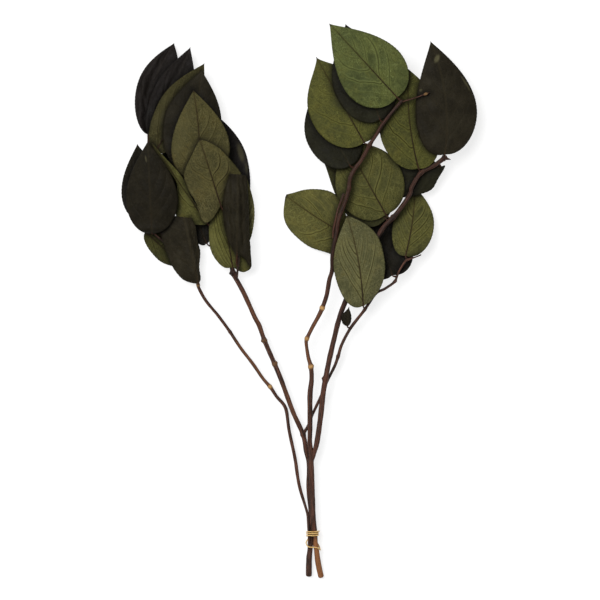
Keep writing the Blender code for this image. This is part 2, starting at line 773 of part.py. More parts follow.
def spread(need, surface):
    """A smooth push that meets the need of every cell: a stiff blade moves as a broad swell."""
    corners = np.full(surface.shape[:2], -np.inf)
    for rows, columns in ((slice(0, -1), slice(0, -1)), (slice(1, None), slice(0, -1)),
                          (slice(0, -1), slice(1, None)), (slice(1, None), slice(1, None))):
        corners[rows, columns] = np.maximum(corners[rows, columns], need)
    plan = surface[..., :2].reshape(-1, 2)
    far = np.hypot(*(plan[:, None] - plan[None]).transpose(2, 0, 1))
    swell = np.clip(corners.reshape(-1), 0, None) / (1 + (far / STIFFNESS) ** 2)
    return swell.max(axis=1).reshape(surface.shape[:2])


def settle(leaf, surface, relief, ceiling):
    """Lifts the blade clear of what lies beneath, and lowers it clear of the stems above it."""
    up, down = half_thickness(leaf)
    surface = surface.copy()
    for _ in range(6):
        lower = facet_points(faces_of(surface, up, down)[1])
        need = (relief.at(lower) + LAYER_GAP - lower[..., 2]).max(axis=2)
        surface[..., 2] += spread(need, surface)
        upper = facet_points(faces_of(surface, up, down)[0])
        over = (upper[..., 2] + LAYER_GAP - ceiling.at(upper)).max(axis=2)
        if over.max() <= 0:
            break
        surface[..., 2] -= spread(over, surface)
    return surface


def strand_points(strand, side):
    """Points all over the upper (side 1) or lower (side -1) half of a strand."""
    dense = swollen_route(strand)[0]
    heading = np.gradient(dense[:, :2], axis=0)
    heading /= np.linalg.norm(heading, axis=1, keepdims=True)
    across = np.column_stack([-heading[:, 1], heading[:, 0]])
    around = np.linspace(-1, 1, 13)
    plan = dense[:, None, :2] + across[:, None] * (dense[:, 3:] * around)[..., None]
    height = dense[:, None, 2] + side * dense[:, 3:] * np.sqrt(1 - around**2)
    return np.dstack([plan, height])


def petiole(leaf, strand, surface):
    """The two rings of the stalk: its end beside the strand, and its middle, each a centre and a frame.

    It leaves the strand square to it and turns towards the blade, whose frame is carried back along it.
    """
    dense = swollen_route(strand)[0]
    base = surface[0, len(ACROSS) // 2]
    near = np.array(leaf.foot if leaf.foot else leaf.base, float)
    k = int(np.clip(np.argmin(np.hypot(*(dense[:, :2] - near).T)), 1, len(dense) - 2))
    centre, radius = dense[k, :3], dense[k, 3]
    tangent = unit(dense[k + 1, :3] - dense[k - 1, :3])
    reach = base - centre
    exit_way = unit(reach - tangent * (reach @ tangent))
    start = centre + exit_way * (radius + PETIOLE_GAP)
    middle = (start + base) / 2 + exit_way * 0.12 * np.linalg.norm(base - start)
    heading = unit(surface[2, len(ACROSS) // 2] - base)
    sideways = unit(surface[0, -1] - surface[0, 0])
    rings = []
    for place, way in ((middle, unit(base - start)), (start, exit_way)):
        turn = Vector(heading).rotation_difference(Vector(way))
        sideways = np.array(turn @ Vector(sideways))
        sideways = unit(sideways - way * (sideways @ way))
        heading = way
        rings.insert(0, (place, sideways, np.cross(way, sideways)))
    return rings


def leaf_mesh(leaf, strand, surface):
    """The leaf as a closed loft: two round petiole rings, then the blade's upper and lower faces."""
    up, down = half_thickness(leaf)
    upper, lower = faces_of(surface, up, down)
    s = np.array(ACROSS)[:, None]
    wide, thick = s * PETIOLE_RADIUS, PETIOLE_RADIUS * np.sqrt(1 - 0.72 * s**2)
    rings = petiole(leaf, strand, surface)
    stalk_upper = [place + wide * sideways + thick * normal for place, sideways, normal in rings]
    stalk_lower = [place + wide * sideways - thick * normal for place, sideways, normal in rings]
    upper = np.concatenate([np.array(stalk_upper), upper])
    lower = np.concatenate([np.array(stalk_lower), lower])
    rows, columns = upper.shape[:2]
    top = np.arange(rows * columns).reshape(rows, columns)
    bottom = top + rows * columns

    def split(a, b, c, d):
        """Two triangles a cell, with the same diagonal wherever it is used."""
        corners = np.stack([a, b, c, d], axis=-1).reshape(-1, 4)
        return np.vstack([corners[:, [0, 1, 2]], corners[:, [0, 2, 3]]])

    triangles = [
        split(top[:-1, :-1], top[1:, :-1], top[1:, 1:], top[:-1, 1:]),
        split(bottom[:-1, :-1], bottom[1:, :-1], bottom[1:, 1:], bottom[:-1, 1:])[:, ::-1],
        split(top[1:, 0], top[:-1, 0], bottom[:-1, 0], bottom[1:, 0]),
        split(top[:-1, -1], top[1:, -1], bottom[1:, -1], bottom[:-1, -1]),
        split(top[0, :-1], top[0, 1:], bottom[0, 1:], bottom[0, :-1]),
        split(top[-1, 1:], top[-1, :-1], bottom[-1, :-1], bottom[-1, 1:]),
    ]
    points = np.concatenate([upper.reshape(-1, 3), lower.reshape(-1, 3)]) * MM
    mesh = bpy.data.meshes.new(leaf.name)
    mesh.from_pydata(points.tolist(), [], np.vstack(triangles).tolist())
    mesh.shade_smooth()
    mesh.set_sharp_from_angle(angle=math.radians(50))
    return mesh


def lay_leaves(strands):
    """Settles every leaf from the lowest up, and gives each with its surface."""
    relief = Relief(-LAYER_GAP)
    laid = []
    for place, layer in enumerate(LAYERS):
        if isinstance(layer, str):
            relief.add(strand_points(strands[layer], 1))
            continue
        ceiling = Relief(1e3, above=False)
        for name in LAYERS[place:]:
            if isinstance(name, str):
                ceiling.add(strand_points(strands[name], -1))
        surface = settle(layer, blade_surface(layer), relief, ceiling)
        relief.add(facet_points(faces_of(surface, *half_thickness(layer))[0]))
        laid.append((layer, surface))
    return laid


def bundle_at(strands, y):
    """Centres and radii of the stems that the band holds, cut across at y."""
    cuts = []
    for name in ("left_arm", "main", "thin"):
        dense = swollen_route(strands[name])[0]
        dense = dense[dense[:, 1] < -150]
        order = np.argsort(dense[:, 1])
        cuts.append([np.interp(y, dense[order, 1], dense[order, k]) for k in (0, 2, 3)])
    return np.array(cuts)


def band_rings(strands):
    """The closed loop of the band: at each angle it lies on the line that just clears all the stems."""
    turns, places, lifts = np.array(BAND_ROUTE).T
    rings = []
    for wound in np.linspace(0, turns[-1], int(turns[-1] * BAND_POINTS_PER_TURN), endpoint=False):
        y, lift = np.interp(wound, turns, places), np.interp(wound, turns, lifts)
        angle = 2 * math.pi * wound
        outward = np.array([math.cos(angle), math.sin(angle)])
        cuts = bundle_at(strands, y)
        clearance = BAND_CLEARANCE + BAND_RADIUS + lift
        k = int(np.argmax(cuts[:, :2] @ outward + cuts[:, 2]))
        x, z = cuts[k, :2] + outward * (cuts[k, 2] + clearance)
        rings.append((x, y, z, BAND_RADIUS))
    return np.array(rings)


def main():
    clear_scene()
    bunch = new_collection("salal_branch")
    helpers = new_collection("helpers")
    helpers.hide_render = True
    bark = material("bark", (0.12, 0.055, 0.04), 0.7)
    upper_side = material("leaf_upper_side_up", (0.02, 0.018, 0.012), 0.45)
    under_side = material("leaf_underside_up", (0.12, 0.13, 0.045), 0.6)
    rubber = material("rubber", (0.72, 0.45, 0.12), 0.5)
    strands = {strand.name: strand for strand in STRANDS}

    for branch in ("branch_left", "branch_right", "branch_thin"):
        runs = [strand for strand in STRANDS if strand.branch == branch]
        pieces = [tube(run.name, strand_rings(run), bunch) for run in runs]
        made = join(branch, pieces, helpers)
        made.data.materials.clear()
        made.data.materials.append(bark)
        made.data.shade_smooth()

    for leaf, surface in lay_leaves(strands):
        made = bpy.data.objects.new(leaf.name, leaf_mesh(leaf, strands[leaf.strand], surface))
        made.data.materials.append(upper_side if leaf.upper_side_up else under_side)
        bunch.objects.link(made)

    band = tube("tie_band", band_rings(strands), bunch, cyclic=True)
    band.data.materials.append(rubber)
    band.data.shade_smooth()


if __name__ == "__main__":
    main()
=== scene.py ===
import logging
import math
from dataclasses import dataclass
from enum import Enum

import bpy
import numpy as np
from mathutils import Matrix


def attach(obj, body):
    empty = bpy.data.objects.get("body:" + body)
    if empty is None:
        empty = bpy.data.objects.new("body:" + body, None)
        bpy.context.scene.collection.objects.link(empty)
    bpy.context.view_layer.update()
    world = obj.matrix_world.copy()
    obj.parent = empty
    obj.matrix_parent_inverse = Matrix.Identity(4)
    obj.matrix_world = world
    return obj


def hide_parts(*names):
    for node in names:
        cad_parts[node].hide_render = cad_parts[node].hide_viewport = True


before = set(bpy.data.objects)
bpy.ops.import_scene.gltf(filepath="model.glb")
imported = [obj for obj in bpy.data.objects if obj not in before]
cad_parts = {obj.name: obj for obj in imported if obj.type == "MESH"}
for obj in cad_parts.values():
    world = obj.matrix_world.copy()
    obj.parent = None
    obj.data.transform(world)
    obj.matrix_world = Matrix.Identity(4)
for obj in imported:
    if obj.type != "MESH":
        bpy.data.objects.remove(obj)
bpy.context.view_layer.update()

"""The looks of a tied bunch of preserved salal: veined leaves, barked branches and the tie.

The bunch lies on a pale floor and is seen from straight above. Tables are in millimetres, in the
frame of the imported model, and MM turns them into Blender's metres.
"""

MM = 0.001
Array = np.ndarray
Colour = tuple[float, float, float]
Socket = bpy.types.NodeSocket
Piece = bpy.types.Object
log = logging.getLogger("salal")

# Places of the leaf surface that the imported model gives, along the blade and across it.
STATIONS = np.array((0.0, 0.03, 0.1, 0.2, 0.32, 0.45, 0.58, 0.71, 0.83, 0.93, 1.0))
ACROSS = np.array((-1.0, -0.55, 0.0, 0.55, 1.0))
RIB_HEIGHT = 0.5
PETIOLE_RADIUS = 0.9
TIP_HALF_WIDTH = 0.35

# Blade: half its thickness, the heights of what stands out of its middle sheet, and its numbers
# of veins, margin points and stalk sides.
HALF_THICKNESS = 0.24
SWELL_HEIGHT = 0.34
CRUMPLE_HEIGHT = 0.34
MARGIN_ROLL = 0.35
GROOVE_DEPTH = 0.16
TOOTH_HEIGHT = 0.5
TOOTH_LENGTH = 3.1
VEINS_A_SIDE = 32
RIM_POINTS = 130
STALK_SIDES = 10

# Bark: how much a joint swells, the lengths of swellings, scars and dark knots, and the ends.
JOINT_SWELL = 0.26
JOINT_LENGTH = 1.75
BUD_LENGTH = 1.3
SCAR_LENGTH = 1.7
KNOT_LENGTH = 2.6
BUD_ANGLE = 0.35
END_ROUNDING = 0.9
END_MARKS = ((0, 0, 0.6), (0, 0, 0.6))
PATH_STEP = 0.9

# Widths of the painted shade that lies beside higher edges, and a distance past every other.
LEAF_SHADE_WIDTH = 3.2
BARK_SHADE_WIDTH = 3.0
FAR = 1e3

# Picture frame: the middle of the view, the width of floor it shows and how far off the camera is.
VIEW_CENTRE = (2.02, 1.38)
VIEW_WIDTH = 552.0
VIEW_HEIGHT = 14.0
CAMERA_DISTANCE = 6000.0
SENSOR_WIDTH = 36.0


class Face(Enum):
    """Which side of a leaf is seen from above."""

    UPPER = 1
    UNDER = -1


class Tint(Enum):
    """Colours of the dried leaf: its underside, and its upper side."""

    GREEN = ((0.082, 0.096, 0.026), (0.014, 0.014, 0.008))
    OLIVE = ((0.074, 0.072, 0.018), (0.014, 0.012, 0.006))
    YELLOW_OLIVE = ((0.078, 0.078, 0.016), (0.014, 0.013, 0.006))
    STRAW_OLIVE = ((0.102, 0.096, 0.024), (0.014, 0.013, 0.006))
    GREY_OLIVE = ((0.100, 0.096, 0.036), (0.014, 0.013, 0.008))
    DULL_OLIVE = ((0.068, 0.060, 0.019), (0.014, 0.012, 0.006))
    BROWN_BLACK = ((0.060, 0.056, 0.018), (0.0142, 0.0113, 0.0054))
    SLATE_BLACK = ((0.060, 0.056, 0.018), (0.0130, 0.0104, 0.0086))
    OLIVE_BLACK = ((0.060, 0.058, 0.018), (0.0140, 0.0130, 0.0055))


def unit(vectors: Array) -> Array:
    """Vectors scaled to length one along their last axis."""
    return vectors / np.maximum(np.linalg.norm(vectors, axis=-1, keepdims=True), 1e-12)


def shaded(colour: Colour, *factors: float) -> Colour:
    """A colour times one factor, or times one for each of red, green and blue."""
    return tuple(channel * factor for channel, factor in zip(colour, factors * (3 // len(factors))))


def rows_of(*parts: Array) -> Array:
    """Three grids of numbers, or numbers to fill them, as one row of three for each point."""
    return np.dstack(np.broadcast_arrays(*parts)).reshape(-1, 3)


def evened(values: Array) -> Array:
    """The mean of each value and the two before and after it, where the ends repeat."""
    return np.convolve(np.pad(values, 2, mode="edge"), np.ones(5) / 5, "valid")


def crowded(count: int) -> Array:
    """Places from 0 to 1 that lie closer at both ends: 0.55 u + 0.45 (1 - cos pi u) / 2."""
    u = np.linspace(0, 1, count)
    return 0.55 * u + 0.45 * (1 - np.cos(math.pi * u)) / 2


def normals(surface: Array) -> Array:
    """Unit normals of a grid of points: along its rows cross along its columns."""
    return unit(np.cross(np.gradient(surface, axis=0), np.gradient(surface, axis=1)))


def linked(name: str, data: bpy.types.ID) -> Piece:
    """A new object at the origin, in the scene."""
    made = bpy.data.objects.new(name, data)
    bpy.context.scene.collection.objects.link(made)
    return made


def smooth_step(low: float, high: float, value: Array) -> Array:
    """A rise from 0 at low to 1 at high with level ends: 3 x squared less 2 x cubed."""
    x = np.clip((value - low) / (high - low), 0, 1)
    return x * x * (3 - 2 * x)


def bell(x: Array, width: float, power: int = 2) -> Array:
    """A bell of height 1 at x = 0: e to the minus (x / width) to a power."""
    return np.exp(-((x / width) ** power))


def spline_weights(knots: Array, places: Array) -> Array:
    """The matrix that turns values at knots into a smooth curve's values at places.

    The curve is the natural cubic spline: its second derivatives solve one set of linear
    equations, and between two knots it is the straight line plus cubic terms in them.

    Args:
        knots: Rising places of the known values.
        places: Places where the curve is wanted.

    Returns:
        One row for each place, one column for each knot.
    """
    count, steps = len(knots), np.diff(knots)
    inner = np.arange(1, count - 1)
    left, right = np.eye(count), np.zeros((count, count))
    left[inner, inner - 1] = steps[:-1]
    left[inner, inner] = 2 * (steps[:-1] + steps[1:])
    left[inner, inner + 1] = steps[1:]
    right[inner, inner - 1] = 6 / steps[:-1]
    right[inner, inner] = -6 / steps[:-1] - 6 / steps[1:]
    right[inner, inner + 1] = 6 / steps[1:]
    bend = np.linalg.solve(left, right)
    k = np.clip(np.searchsorted(knots, places, side="right") - 1, 0, count - 2)
    width, ahead, behind = steps[k], knots[k + 1] - places, places - knots[k]
    eye = np.eye(count)
    weights = eye[k] * (ahead / width)[:, None] + eye[k + 1] * (behind / width)[:, None]
    weights += bend[k] * ((ahead**3 / width - ahead * width) / 6)[:, None]
    weights += bend[k + 1] * ((behind**3 / width - behind * width) / 6)[:, None]
    return weights


def smooth_route(rows: Array, step: float) -> Array:
    """Even points on the curve through rows of x, y, z and radius.

    Each span is the Catmull-Rom cubic of its four nearest rows, and the points are then spaced
    evenly along the length.

    Args:
        rows: Rows of x, y, z and radius.
        step: Spacing of the points.

    Returns:
        Rows of x, y, z and radius.
    """
    ends = np.vstack([2 * rows[0] - rows[1], rows, 2 * rows[-1] - rows[-2]])
    u = np.linspace(0, 1, 40, endpoint=False)[None, :, None]
    a, b, c, d = (ends[k:len(ends) - 3 + k, None] for k in range(4))
    dense = 0.5 * (2 * b + (c - a) * u + (2 * a - 5 * b + 4 * c - d) * u**2 + (3 * b - a - 3 * c + d) * u**3)
    dense = np.vstack([dense.reshape(-1, rows.shape[1]), rows[-1:]])
    along = lengths(dense)
    even = np.linspace(0, along[-1], max(int(along[-1] / step), 4))
    return np.column_stack([np.interp(even, along, column) for column in dense.T])


def lengths(points: Array) -> Array:
    """Distance of each point from the first, measured along the path."""
    steps = np.linalg.norm(np.diff(points[:, :3], axis=0), axis=1)
    return np.concatenate([[0.0], np.cumsum(steps)])


def ripple(seed: int, x: Array, scale: float) -> Array:
    """A smooth random wave of about -1 to 1: three sines of rising pitch with random phases.

    Args:
        seed: Picks the phases.
        x: Places along the wave.
        scale: Length of the longest wave.

    Returns:
        The wave at each place.
    """
    phases = np.random.default_rng(seed).uniform(0, 2 * math.pi, 3)
    parts = [np.sin(2 * math.pi * x * 1.9**k / scale + phase) / 1.6**k for k, phase in enumerate(phases)]
    return np.sum(parts, axis=0) / sum(1 / 1.6**k for k in range(3))


def painted_contact_shade(places: Array, over: Array, reach: float, lift: float = 0.2) -> Array:
    """How dark the painted shade is at each place beside the edge of what lies over it.

    It is e to the minus (d / reach) to the 1.2, where d is the distance seen from above to the
    nearest edge that lies higher than the place by lift or more.

    Args:
        places: Points of x, y and z.
        over: Edges as rows of x, y, z and a half width round each point.
        reach: Width of the band of painted shade in millimetres.
        lift: How much higher an edge has to lie.

    Returns:
        One value of 0 to 1 for each place.
    """
    flat = places.reshape(-1, 3)
    low, high = flat[:, :2].min(axis=0) - 3 * reach, flat[:, :2].max(axis=0) + 3 * reach
    over = over[((over[:, :2] > low) & (over[:, :2] < high)).all(axis=1)]
    nearest = np.full(len(flat), FAR)
    for block in np.array_split(over, max(len(over) // 200, 1)) if len(over) else ():
        far = np.hypot(flat[:, None, 0] - block[:, 0], flat[:, None, 1] - block[:, 1]) - block[:, 3]
        far = np.where(block[:, 2] > flat[:, None, 2] + lift, far, FAR)
        nearest = np.minimum(nearest, far.min(axis=1))
    return np.exp(-((np.clip(nearest, 0, None) / reach) ** 1.2)).reshape(places.shape[:-1])


class Shell:
    """Vertices, faces and named vectors of one piece, gathered from closed parts."""

    def __init__(self, *names: str) -> None:
        """Starts an empty shell.

        Args:
            names: The vectors that every part gives for each of its vertices.
        """
        self.points: list[Array] = []
        self.faces: list[list[int]] = []
        self.fields: dict[str, list[Array]] = {name: [] for name in names}
        self.count = 0

    def add(self, points: Array, faces: list[Array], **fields: Array) -> None:
        """Adds one closed part.

        Args:
            points: Its vertices in millimetres.
            faces: Blocks of vertex numbers, one row a face.
            fields: A vector for each vertex, under each of the shell's names.
        """
        for block in faces:
            self.faces += (block + self.count).tolist()
        self.points.append(points)
        for name, values in self.fields.items():
            values.append(fields[name])
        self.count += len(points)

    def build(self, name: str) -> Piece:
        """Makes the object, with its place in its mesh.

        Args:
            name: Name of the piece.

        Returns:
            The new object.
        """
        mesh = bpy.data.meshes.new(name)
        mesh.from_pydata((np.vstack(self.points) * MM).tolist(), [], self.faces)
        for field_name, values in self.fields.items():
            layer = mesh.attributes.new(field_name, "FLOAT_VECTOR", "POINT")
            layer.data.foreach_set("vector", np.vstack(values).astype(np.float32).ravel())
        mesh.shade_smooth()
        return linked(name, mesh)


def grid_faces(rows: int, columns: int, closed: bool = False) -> Array:
    """Four-cornered faces of a grid of vertices, facing along row direction times column direction."""
    numbers = np.arange(rows * columns).reshape(rows, columns)
    if closed:
        numbers = np.hstack([numbers, numbers[:, :1]])
    corners = numbers[:-1, :-1], numbers[1:, :-1], numbers[1:, 1:], numbers[:-1, 1:]
    return np.stack(corners, axis=-1).reshape(-1, 4)


def angles(count: int) -> Array:
    """Even angles all the way round."""
    return np.linspace(0, 2 * math.pi, count, endpoint=False)


def ring_points(centres: Array, side: Array, up: Array, radii: Array) -> Array:
    """Rings along a path: centre + radius (cos a side + sin a up), with a running all the way round.

    Args:
        centres: The path, one row a ring.
        side: Unit vectors across the path.
        up: Unit vectors square to both.
        radii: Radius of each ring at each angle.

    Returns:
        The vertices, ring by ring.
    """
    angle = angles(radii.shape[1])[None, :, None]
    spokes = np.cos(angle) * side[:, None] + np.sin(angle) * up[:, None]
    return (centres[:, None] + radii[..., None] * spokes).reshape(-1, 3)


def tube(centres: Array, side: Array, up: Array, radii: Array) -> tuple[Array, list[Array]]:
    """The rings along a path, closed by a point at each end: the vertices and the blocks of faces."""
    rings, around = radii.shape
    points = np.vstack([ring_points(centres, side, up, radii), centres[:1], centres[-1:]])
    first, last = np.arange(around), np.arange(around) + (rings - 1) * around
    start, end = rings * around, rings * around + 1
    caps = [
        np.column_stack([np.full(around, start), np.roll(first, -1), first]),
        np.column_stack([np.full(around, end), last, np.roll(last, -1)]),
    ]
    return points, [grid_faces(rings, around, closed=True)[:, ::-1], *caps]


def with_ends(values: Array, around: int) -> Array:
    """A tube's vectors, followed by those of its first and its last ring for its two end points."""
    return np.vstack([values, values[[0, -around]]])


class Wire:
    """A shader value that Python arithmetic turns into Math nodes."""

    def __init__(self, net: "Net", socket: Socket) -> None:
        """Wraps a socket of a net."""
        self.net = net
        self.socket = socket

    def __add__(self, other: "Wire | float") -> "Wire":
        """This plus other."""
        return self.net.math("ADD", self, other)

    def __sub__(self, other: "Wire | float") -> "Wire":
        """This less other."""
        return self.net.math("SUBTRACT", self, other)

    def __rsub__(self, other: float) -> "Wire":
        """Other less this."""
        return self.net.math("SUBTRACT", other, self)

    def __mul__(self, other: "Wire | float") -> "Wire":
        """This times other."""
        return self.net.math("MULTIPLY", self, other)

    def __truediv__(self, other: "Wire | float") -> "Wire":
        """This over other."""
        return self.net.math("DIVIDE", self, other)

    def __abs__(self) -> "Wire":
        """This without its sign."""
        return self.net.math("ABSOLUTE", self)

    __radd__ = __add__
    __rmul__ = __mul__

    def least(self, other: "Wire | float") -> "Wire":
        """The smaller of this and other."""
        return self.net.math("MINIMUM", self, other)

    def most(self, other: "Wire | float") -> "Wire":
        """The larger of this and other."""
        return self.net.math("MAXIMUM", self, other)

    def rise(self, low: float, high: float) -> "Wire":
        """A smooth rise from 0 at low to 1 at high, or a fall where low is the larger."""
        first, last = (0.0, 1.0) if low < high else (1.0, 0.0)
        low, high = sorted((low, high))
        ends = {"From Min": low, "From Max": high, "To Min": first, "To Max": last}
        settings = {"interpolation_type": "SMOOTHSTEP"}
        node = self.net.add("ShaderNodeMapRange", settings, {"Value": self, **ends})
        return Wire(self.net, node.outputs["Result"])


class Net:
    """The nodes of one material."""

    def __init__(self, name: str) -> None:
        """Starts a material with one Principled shader."""
        self.material = bpy.data.materials.new(name)
        self.material.use_nodes = True
        self.tree = self.material.node_tree
        self.shader = self.tree.nodes["Principled BSDF"]

    def add(self, kind: str, settings: dict | None = None, values: dict | None = None) -> bpy.types.Node:
        """Adds a node.

        Args:
            kind: Its type.
            settings: Its own settings, set first.
            values: Numbers, colours, wires or sockets for its inputs, by name or number.

        Returns:
            The node.
        """
        node = self.tree.nodes.new(kind)
        for key, value in (settings or {}).items():
            setattr(node, key, value)
        for key, value in (values or {}).items():
            self.put(node.inputs[key], value)
        return node

    def put(self, socket: Socket, value: object) -> None:
        """Links a wire or socket to an input, or sets a number or colour on it."""
        if isinstance(value, Wire):
            value = value.socket
        if isinstance(value, Socket):
            self.tree.links.new(value, socket)
        elif isinstance(value, tuple) and socket.type == "RGBA":
            socket.default_value = (*value, 1.0)
        else:
            socket.default_value = value

    def math(self, operation: str, *values: Wire | float) -> Wire:
        """A Math node of one operation on its values in turn."""
        node = self.add("ShaderNodeMath", {"operation": operation}, dict(enumerate(values)))
        return Wire(self, node.outputs[0])

    def field(self, name: str) -> tuple[Wire, Wire, Wire, Socket]:
        """The three parts of a vector stored on the mesh, and the vector itself."""
        source = self.add("ShaderNodeAttribute", {"attribute_name": name}).outputs["Vector"]
        parts = self.add("ShaderNodeSeparateXYZ", values={0: source}).outputs
        return Wire(self, parts[0]), Wire(self, parts[1]), Wire(self, parts[2]), source

    def mix(self, factor: Wire | float, low: object, high: object, blend: str = "MIX") -> Socket:
        """A colour between two colours, or their blend."""
        colours = {"Factor": factor, 6: low, 7: high}
        return self.add("ShaderNodeMix", {"data_type": "RGBA", "blend_type": blend}, colours).outputs[2]

    def layered(self, colour: object, *layers: tuple[Wire, object]) -> Socket:
        """A colour with others laid over it in turn, each as strong as its mask."""
        for mask, laid in layers:
            colour = self.mix(mask, colour, laid)
        return colour

    def tinted(self, colour: Colour, first: tuple[float, ...], *layers: tuple) -> Socket:
        """A colour times factors, with the same colour times others laid over it by their masks."""
        rows = ((mask, shaded(colour, *factors)) for mask, *factors in layers)
        return self.layered(shaded(colour, *first), *rows)

    def noise(self, vector: Socket, scale: float, detail: float) -> Wire:
        """Smooth noise of 0 to 1."""
        node = self.add("ShaderNodeTexNoise", values={"Vector": vector, "Scale": scale, "Detail": detail})
        return Wire(self, node.outputs[0])

    def drawn_out(self, vector: Socket, scale: tuple[float, float, float], detail: float) -> Wire:
        """Smooth noise with a scale of its own along each part of the vector."""
        node = self.add("ShaderNodeMapping", values={"Vector": vector, "Scale": scale})
        return self.noise(node.outputs[0], 1.0, detail)

    def cells(self, vector: Socket, scale: float) -> Wire:
        """Distance to the nearest border of irregular cells, in cell widths."""
        settings = {"feature": "DISTANCE_TO_EDGE"}
        node = self.add("ShaderNodeTexVoronoi", settings, {"Vector": vector, "Scale": scale})
        return Wire(self, node.outputs["Distance"])

    def bump(self, height: Wire, depth: float) -> None:
        """Feeds the shader's normal with a relief of the given depth in millimetres."""
        node = self.add("ShaderNodeBump", values={"Height": height, "Distance": depth * MM})
        self.finish({"Normal": node.outputs[0]})

    def finish(self, values: dict[str, object]) -> bpy.types.Material:
        """Sets or feeds inputs of the shader by name, and gives the material."""
        for name, value in values.items():
            self.put(self.shader.inputs[name], value)
        return self.material


@dataclass(frozen=True)
class LeafFinish:
    """The dried blade: a matt, net-veined underside and a dark upper side with a slight sheen.

    The blade stores four vectors. blade: place along it from 0 to 1, place across it from -1 to
    1, and 1 on the upper side, 0 on the underside or 2 on the stalk and midrib. vein: number of
    the side vein counted along the blade, its rate of change a millimetre, and how strong it is.
    place: millimetres along and across the flattened blade, and a number that sets leaves apart.
    spot: how pale it is there, from painted highlights on the underside and pale patches on the
    upper side, and how dark the painted shade beside what lies over it.
    """

    name: str
    tint: Tint
    showing: Face
    veined: float = 1.0
    shade: float = 1.0

    def lines(self, net: Net) -> tuple[Wire, ...]:
        """Masks of the side veins, the pale band along each, the midrib, and the coarse and the fine net."""
        number, rate, strength, _ = net.field("vein")
        _, across_blade, _, place = net.field("place")
        warp = net.add("ShaderNodeTexNoise", values={"Vector": place, "Scale": 0.16, "Detail": 1.0})
        bent = net.mix(0.12, place, warp.outputs["Color"], "LINEAR_LIGHT")
        gap = abs(number - net.math("ROUND", number)) / rate
        return (
            gap.rise(0.62, 0.14) * strength,
            gap.rise(2.2, 0.6) * strength,
            abs(across_blade).rise(1.5, 0.4),
            net.cells(bent, 0.26).rise(0.075, 0.012),
            net.cells(bent, 0.85).rise(0.10, 0.02),
        )

    def material(self) -> bpy.types.Material:
        """Builds the leaf's material: underside and upper side from their layers, then the stalk."""
        net = Net(self.name)
        side, halo, middle, coarse, fine = self.lines(net)
        t, s, face, _ = net.field("blade")
        pale, dark, _, _ = net.field("spot")
        place = net.field("place")[3]
        under, over = (shaded(colour, self.shade) for colour in self.tint.value)
        seen = under if self.showing is Face.UNDER else over
        upward = face.least(1.0)
        broad, cloud = net.noise(place, 0.035, 2.0), net.noise(place, 0.11, 4.0)
        grain, crinkle = net.noise(place, 1.3, 3.0), net.noise(place, 0.42, 2.0)
        netted = net.noise(place, 0.06, 1.0).rise(0.36, 0.56)
        # Pale flecks on the crinkles are painted glints.
        painted_glints = net.noise(place, 0.8, 2.0).rise(0.60, 0.70) * broad.rise(0.40, 0.58)
        margin = abs(s).rise(0.94, 1.0)

        below = net.tinted(
            under,
            (0.80, 0.82, 0.86),
            (broad.rise(0.38, 0.62), 1.22, 1.18, 1.04),
            (cloud.rise(0.50, 0.72) * 0.5, 1.40, 1.16, 0.72),
            (cloud.rise(0.47, 0.30) * 0.75, 0.52, 0.54, 0.50),
            (crinkle.rise(0.52, 0.70) * 0.55, 1.55, 1.5, 1.5),
            (crinkle.rise(0.48, 0.30) * 0.60, 0.50, 0.50, 0.46),
            (grain.rise(0.42, 0.66) * 0.58, 0.48),
            (fine * netted * 0.60, 2.1, 2.1, 2.6),
            (coarse * netted * 0.48, 2.2, 2.2, 2.7),
            (painted_glints * 0.68, 2.5, 2.5, 3.0),
            (halo * (0.62 * self.veined), 1.95, 1.95, 2.0),
            (side * (0.92 * self.veined), 0.32, 0.24, 0.16),
            (middle * 0.55, 0.66, 0.52, 0.42),
            (margin * 0.5, 0.5),
        )
        below = net.mix(t.rise(0.955, 1.0) * 0.85, below, (0.014, 0.009, 0.005))
        # The pale spots on the underside are painted highlights.
        below = net.mix(pale * 0.8, below, shaded(under, 1.65, 1.65, 1.9))
        above = net.tinted(
            over,
            (0.74,),
            # On the upper side the lighter bluish-grey patches of broad and cloud are painted sheen.
            (broad.rise(0.36, 0.64), 1.34, 1.38, 1.5),
            (cloud.rise(0.48, 0.74) * 0.6, 1.75, 1.85, 2.3),
            (cloud.rise(0.47, 0.30) * 0.5, 0.55),
            (crinkle.rise(0.54, 0.72) * 0.4, 1.9, 1.95, 2.3),
            (grain.rise(0.42, 0.68) * 0.5, 0.52),
            (fine * netted * 0.22, 1.8),
            (side * (0.30 * self.veined), 1.9),
            (middle * 0.32, 2.1),
            (margin * 0.4, 0.6),
        )
        above = net.mix(pale, above, (0.105, 0.095, 0.048))
        stalk = net.layered(
            (0.045, 0.018, 0.010),
            (t.rise(0.0, 0.12), (0.017, 0.009, 0.004)),
            (t.rise(0.10, 0.55), shaded(under, 0.28, 0.20, 0.13) if seen is under else shaded(over, 1.5)),
            (grain.rise(0.3, 0.7) * 0.35, (0.022, 0.012, 0.006)),
        )
        colour = net.layered(
            below,
            (upward, above),
            ((face - 1.0).most(0.0), stalk),
            # Painted shade: the leaf darkens beside the edges of the stems and leaves over it.
            (dark * 0.9, shaded(seen, 0.16, 0.15, 0.13)),
        )
        dull = 0.72 - 0.12 * cloud + 0.06 * fine
        sheen = 0.40 + 0.24 * cloud + 0.1 * grain
        ridges = side * 0.8 + halo * 0.35 + (coarse * 0.5 + fine * 0.3) * netted
        pits = 0.0 - ridges * 0.45
        relief = ridges + (pits - ridges) * upward
        net.bump(relief + grain * 0.3 + cloud * 0.6 + crinkle * 0.9, 0.5)
        shine = 0.14 if seen is under else 0.09
        rough = dull + (sheen - dull) * upward
        return net.finish({"Base Color": colour, "Roughness": rough, "Specular IOR Level": shine})


